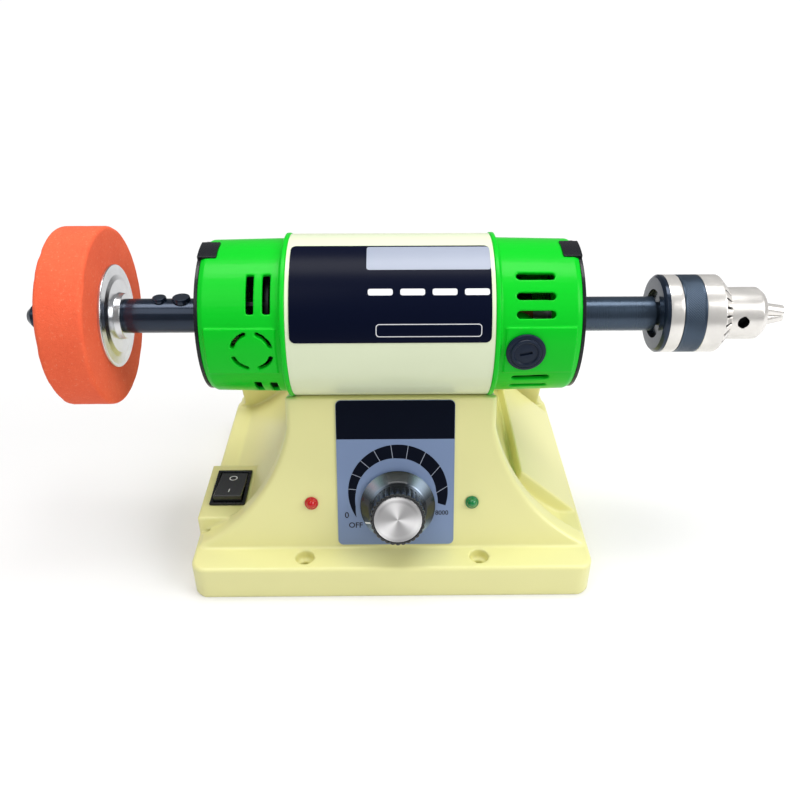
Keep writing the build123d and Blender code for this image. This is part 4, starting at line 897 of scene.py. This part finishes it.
# the floors of the gashes are painted dark, as the shade in the gashes
setFinishes(mesh, finishes["chuck_steel"], paintedShadeFinish)
x, y, z = (faceCentres(mesh) - (0, motorY, motorZ)).T / mm
r = np.hypot(y, z)
onCone = (x > sleeve["chamfer"] - 0.2) & (r > chuck["noseR"] + 0.9)
finishFaces(mesh, (fromGash(np.arctan2(y, z), r) < sleeve["toothWide"] * sleeve["paintedShadeShare"]) & onCone)

band = {"start": chuck["collarEnd"] + 0.35, "end": sleeve["bandEnd"] - 0.05, "outer": chuck["r"] - 0.05,
        "inner": chuck["r"] - 0.9, "marks": 96, "pitch": 1.4, "plain": 0.9, "deep": 0.22}


def knurl(h, r, t):
    # crossed grooves: |sin| of the turn plus and minus the run along the band
    run = (h - band["start"]) * 2 * np.pi / band["pitch"]
    a = np.abs(np.sin((t * band["marks"] + run) / 2))
    b = np.abs(np.sin((t * band["marks"] - run) / 2))
    fromEnd = np.minimum(h - band["start"], band["end"] - h)
    edge = np.clip((fromEnd - band["plain"]) / 0.3, 0, 1)
    onOutside = r > band["outer"] - 0.3
    return h, np.where(onOutside, r - edge * (1 - np.minimum(a, b) ** 0.6) * band["deep"], r)


line = [(band["start"], band["inner"]), (band["start"], band["outer"], 0.2),
        (band["end"], band["outer"], 0.2), (band["end"], band["inner"])]
mesh = onSpindle("gripBand", line, 768, 0.18, knurl, 60)
pieceOf("gripBand", mesh, bandFinish, "chuck_collar", "grip_band")
print("chuck done")


# brush caps: a domed cap with a raised ring and a slot, and its twin on the far side
brush = {"x": 69.0, "base": 42.9, "r": 10.2, "height": 2.4, "ringR": 7.6, "ringInner": 6.4, "dish": 0.35,
         "stemR": 3.3, "stemLong": 2.4, "rimHigh": 1.3, "slotLong": 6.4, "slotWide": 1.7,
         "slotDeep": 1.4, "slotDeg": 12}
capTop = brush["base"] + brush["height"]
capBack = brush["base"] - brush["stemLong"]
line = [(capBack, brush["stemR"] - 0.1), (capBack, brush["stemR"]), (brush["base"], brush["stemR"]),
        (brush["base"], brush["r"]), (brush["base"] + brush["rimHigh"], brush["r"], 0.6),
        (capTop - 0.6, brush["ringR"] + 1.0, 0.5), (capTop - 0.9, brush["ringR"] + 0.4, 0.3),
        (capTop, brush["ringR"], 0.3), (capTop, brush["ringInner"], 0.3),
        (capTop - 0.8, brush["ringInner"] - 0.5, 0.3), (capTop - brush["dish"], 3.0),
        (capTop - brush["dish"], 0.01)]
capPlace = ((brush["x"] * mm, motorY, motorZ), (0, -1, 0), (0, 0, 1))
mesh = spunMesh("brushCaps", refined(rounded(line), 0.8), 128, capPlace, 30)
piece = pieceOf("brushCaps", mesh, brushFinish, "machine", "brush_caps")

u = np.array([-1, 1, 1, -1]) * brush["slotLong"] / 2
v = np.array([-1, -1, 1, 1]) * brush["slotWide"] / 2
across = u * cosDeg(brush["slotDeg"]) - v * sinDeg(brush["slotDeg"])
upward = u * sinDeg(brush["slotDeg"]) + v * cosDeg(brush["slotDeg"])
corners = [(brush["x"] * mm + a * mm, motorY - out * mm, motorZ + b * mm)
           for out in (capTop - brush["slotDeep"], capTop + 1) for a, b in zip(across, upward)]
sides = [(0, 1, 5, 4), (1, 2, 6, 5), (2, 3, 7, 6), (3, 0, 4, 7)]
cutter = bpy.data.meshes.new("capSlot")
cutter.from_pydata(corners, [], [(3, 2, 1, 0), (4, 5, 6, 7), *sides])
shape = cutFrom(piece, [cutter])
# the far side's cap is the same one carried half a turn round the spindle
work = bmesh.new()
work.from_mesh(shape)
second = bmesh.ops.duplicate(work, geom=work.verts[:] + work.edges[:] + work.faces[:])["geom"]
bmesh.ops.rotate(work, cent=(0, motorY, motorZ), matrix=Matrix.Rotation(np.pi, 3, "X"),
                 verts=[g for g in second if isinstance(g, bmesh.types.BMVert)])
work.to_mesh(shape)
work.free()
setFinishes(shape, brushFinish)
smoothShade(shape, 30)
print("brush caps done")


# CAD pieces with their edges rounded: width in mm, segments, and the angle past which an edge counts
bevels = {
    "bottom_plate": (0.3, 2, 40), "rubber_feet": (0.3, 2, 40), "mount_screws": (0.2, 2, 40),
    "cable_gland": (0.5, 2, 40), "switch_frame": (0.5, 3, 40), "rocker": (0.5, 3, 20),
    "motor_tube": (0.3, 2, 40), "left_end_plate": (0.3, 2, 40), "right_end_plate": (0.3, 2, 40),
    "motor_shaft": (0.3, 2, 40), "left_arbor": (0.4, 2, 40), "set_screws": (0.2, 2, 40),
    "wheel_nut": (0.4, 2, 40), "right_arbor": (0.4, 2, 40), "jaw_1": (0.15, 2, 40), "jaw_2": (0.15, 2, 40),
    "jaw_3": (0.15, 2, 40), "led_red": (0.25, 2, 40), "led_green": (0.25, 2, 40),
}
# the right arbor is given a paler, bluer finish than the left one: painted light, standing in for the broad
# highlight along its top
paintedLightFinish = {"right_arbor": bandFinish}
sameSpot = 3e-6  # points of the CAD mesh closer than this, in m, are one


def cadCopy(node):
    # a piece of its own from the CAD mesh, which the caller then shapes
    mesh = nodes[node].data.copy()
    finish = paintedLightFinish.get(node, finishes[slotOf[node]])
    return pieceOf(node + "Shape", mesh, finish, nodes[node]["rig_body"], node)


for node, (width, segments, angleDeg) in bevels.items():
    piece = cadCopy(node)
    mergePoints(piece.data, sameSpot, flatDeg=0.6)
    bevel = piece.modifiers.new("softEdges", "BEVEL")
    bevel.width = width * mm
    bevel.segments = segments
    bevel.limit_method = "ANGLE"
    bevel.angle_limit = np.radians(angleDeg)
    bevel.use_clamp_overlap = False
    bevel.miter_outer = "MITER_ARC"
    piece.data.shade_smooth()
    weighted = piece.modifiers.new("evenNormals", "WEIGHTED_NORMAL")
    weighted.weight = 80
for cad in nodes.values():
    if not cad.hide_render:
        smoothShade(cad.data, 30)

# the moulded pieces: the size in mm of the even small faces they are remeshed into, and the share kept
moulded = {"base_housing": (0.8, 0.25), "left_cover": (0.5, 0.4), "right_cover": (0.5, 0.4)}
for node, (voxel, keepShare) in moulded.items():
    # evened out so that every corner is round, then thinned
    piece = cadCopy(node)
    mergePoints(piece.data, sameSpot)
    remesh = piece.modifiers.new("evenFaces", "REMESH")
    remesh.mode = "VOXEL"
    remesh.voxel_size = voxel * mm
    smooth = piece.modifiers.new("roundCorners", "SMOOTH")
    smooth.factor = 0.5
    smooth.iterations = 4
    thin = piece.modifiers.new("thinOut", "DECIMATE")
    thin.ratio = keepShare
    shape = applyModifiers(piece)
    setFinishes(shape, finishes[slotOf[node]])
    smoothShade(shape, 60)
    print(node, "faces", len(shape.polygons))
print("CAD pieces finished")


# stage, light and camera; lengths here are in metres
stage = {"floorX": (-6, 6), "floorY": (-4, 8), "floorColour": 0.76, "floorRough": 0.6,
         "liftFrom": 0.2, "liftTo": 1.6, "liftNear": 0.18, "liftFar": 0.66,
         "around": 0.5, "seen": 1.0, "mirrored": 0.22, "aim": (0, 0, 0.1)}
x, y = stage["floorX"], stage["floorY"]
floor = bpy.data.meshes.new("floor")
floor.from_pydata([(x[0], y[0], 0), (x[1], y[0], 0), (x[1], y[1], 0), (x[0], y[1], 0)], [], [(0, 1, 2, 3)])
floorPiece = newObject("floor", floor)
floorFinish = bpy.data.materials.new("floorFinish")
floorFinish.use_nodes = True
tree = floorFinish.node_tree
shader = tree.nodes["Principled BSDF"]
shader.inputs["Base Color"].default_value = (*[stage["floorColour"]] * 3, 1)
shader.inputs["Roughness"].default_value = stage["floorRough"]
shader.inputs["Emission Strength"].default_value = 1.0
# to the camera alone the floor is nearer to white, and still keeps its shadow
seenBy = Val(tree, tree.nodes.new("ShaderNodeLightPath").outputs["Is Camera Ray"])
onFloor = Val(tree, tree.nodes.new("ShaderNodeTexCoord").outputs["Object"])
away = onFloor.node("VectorMath", {0: onFloor}, out=1, operation="LENGTH")
lifted = seenBy * away.ramp(stage["liftFrom"], stage["liftTo"], stage["liftNear"], stage["liftFar"])
tree.links.new(lifted.blend((0, 0, 0, 1), (1, 1, 1, 1)).socket, shader.inputs["Emission Color"])
floor.materials.append(floorFinish)

world = bpy.data.worlds.new("studio")
bpy.context.scene.world = world
world.use_nodes = True
tree = world.node_tree
backdrop = tree.nodes["Background"]
seen = tree.nodes.new("ShaderNodeBackground")
mirrored = tree.nodes.new("ShaderNodeBackground")
for glow, strength in ((backdrop, stage["around"]), (seen, stage["seen"]), (mirrored, stage["mirrored"])):
    glow.inputs["Color"].default_value = (1, 1, 1, 1)
    glow.inputs["Strength"].default_value = strength


def either(question, no, yes):
    # the first shader, or the second one for rays that answer the question with yes
    mix = tree.nodes.new("ShaderNodeMixShader")
    for place, socket in enumerate((question, no, yes)):
        tree.links.new(socket, mix.inputs[place])
    return mix.outputs[0]


ray = tree.nodes.new("ShaderNodeLightPath").outputs
lit = either(ray["Is Glossy Ray"], backdrop.outputs[0], mirrored.outputs[0])
shown = either(ray["Is Camera Ray"], lit, seen.outputs[0])
tree.links.new(shown, tree.nodes["World Output"].inputs["Surface"])

# area lights: place, width, height and power in watts
lights = {"keyLight": ((-0.5, -0.7, 1.2), 0.7, 0.7, 2.2), "fillLight": ((0.95, -0.5, 0.8), 0.7, 0.7, 7.0),
          "topLight": ((0.0, 0.1, 1.3), 1.2, 0.5, 10)}
for name, (place, width, height, power) in lights.items():
    lamp = bpy.data.lights.new(name, "AREA")
    lamp.shape = "RECTANGLE"
    lamp.size = width
    lamp.size_y = height
    lamp.energy = power
    holder = newObject(name, lamp)
    holder.location = place
    holder.rotation_euler = (Vector(stage["aim"]) - Vector(place)).to_track_quat("-Z", "Y").to_euler()

# the camera that was fitted to the photo: place, lens and sensor in mm, and the way it looks
view = {"place": (1.07, -413.85, 343.22), "way": (0.00881, 0.8410, -0.5410), "lens": 35.65, "sensor": 36.0}
camera = bpy.data.cameras.new("photoCamera")
camera.sensor_width = view["sensor"]
camera.lens = view["lens"]
camera.clip_start = 0.01
cameraPiece = newObject("photoCamera", camera)
cameraPiece.location = Vector(view["place"]) * mm
cameraPiece.rotation_euler = Vector(view["way"]).to_track_quat("-Z", "Y").to_euler()
bpy.context.scene.camera = cameraPiece
bpy.context.scene.view_settings.view_transform = "Standard"
print("stage, lights and camera set")
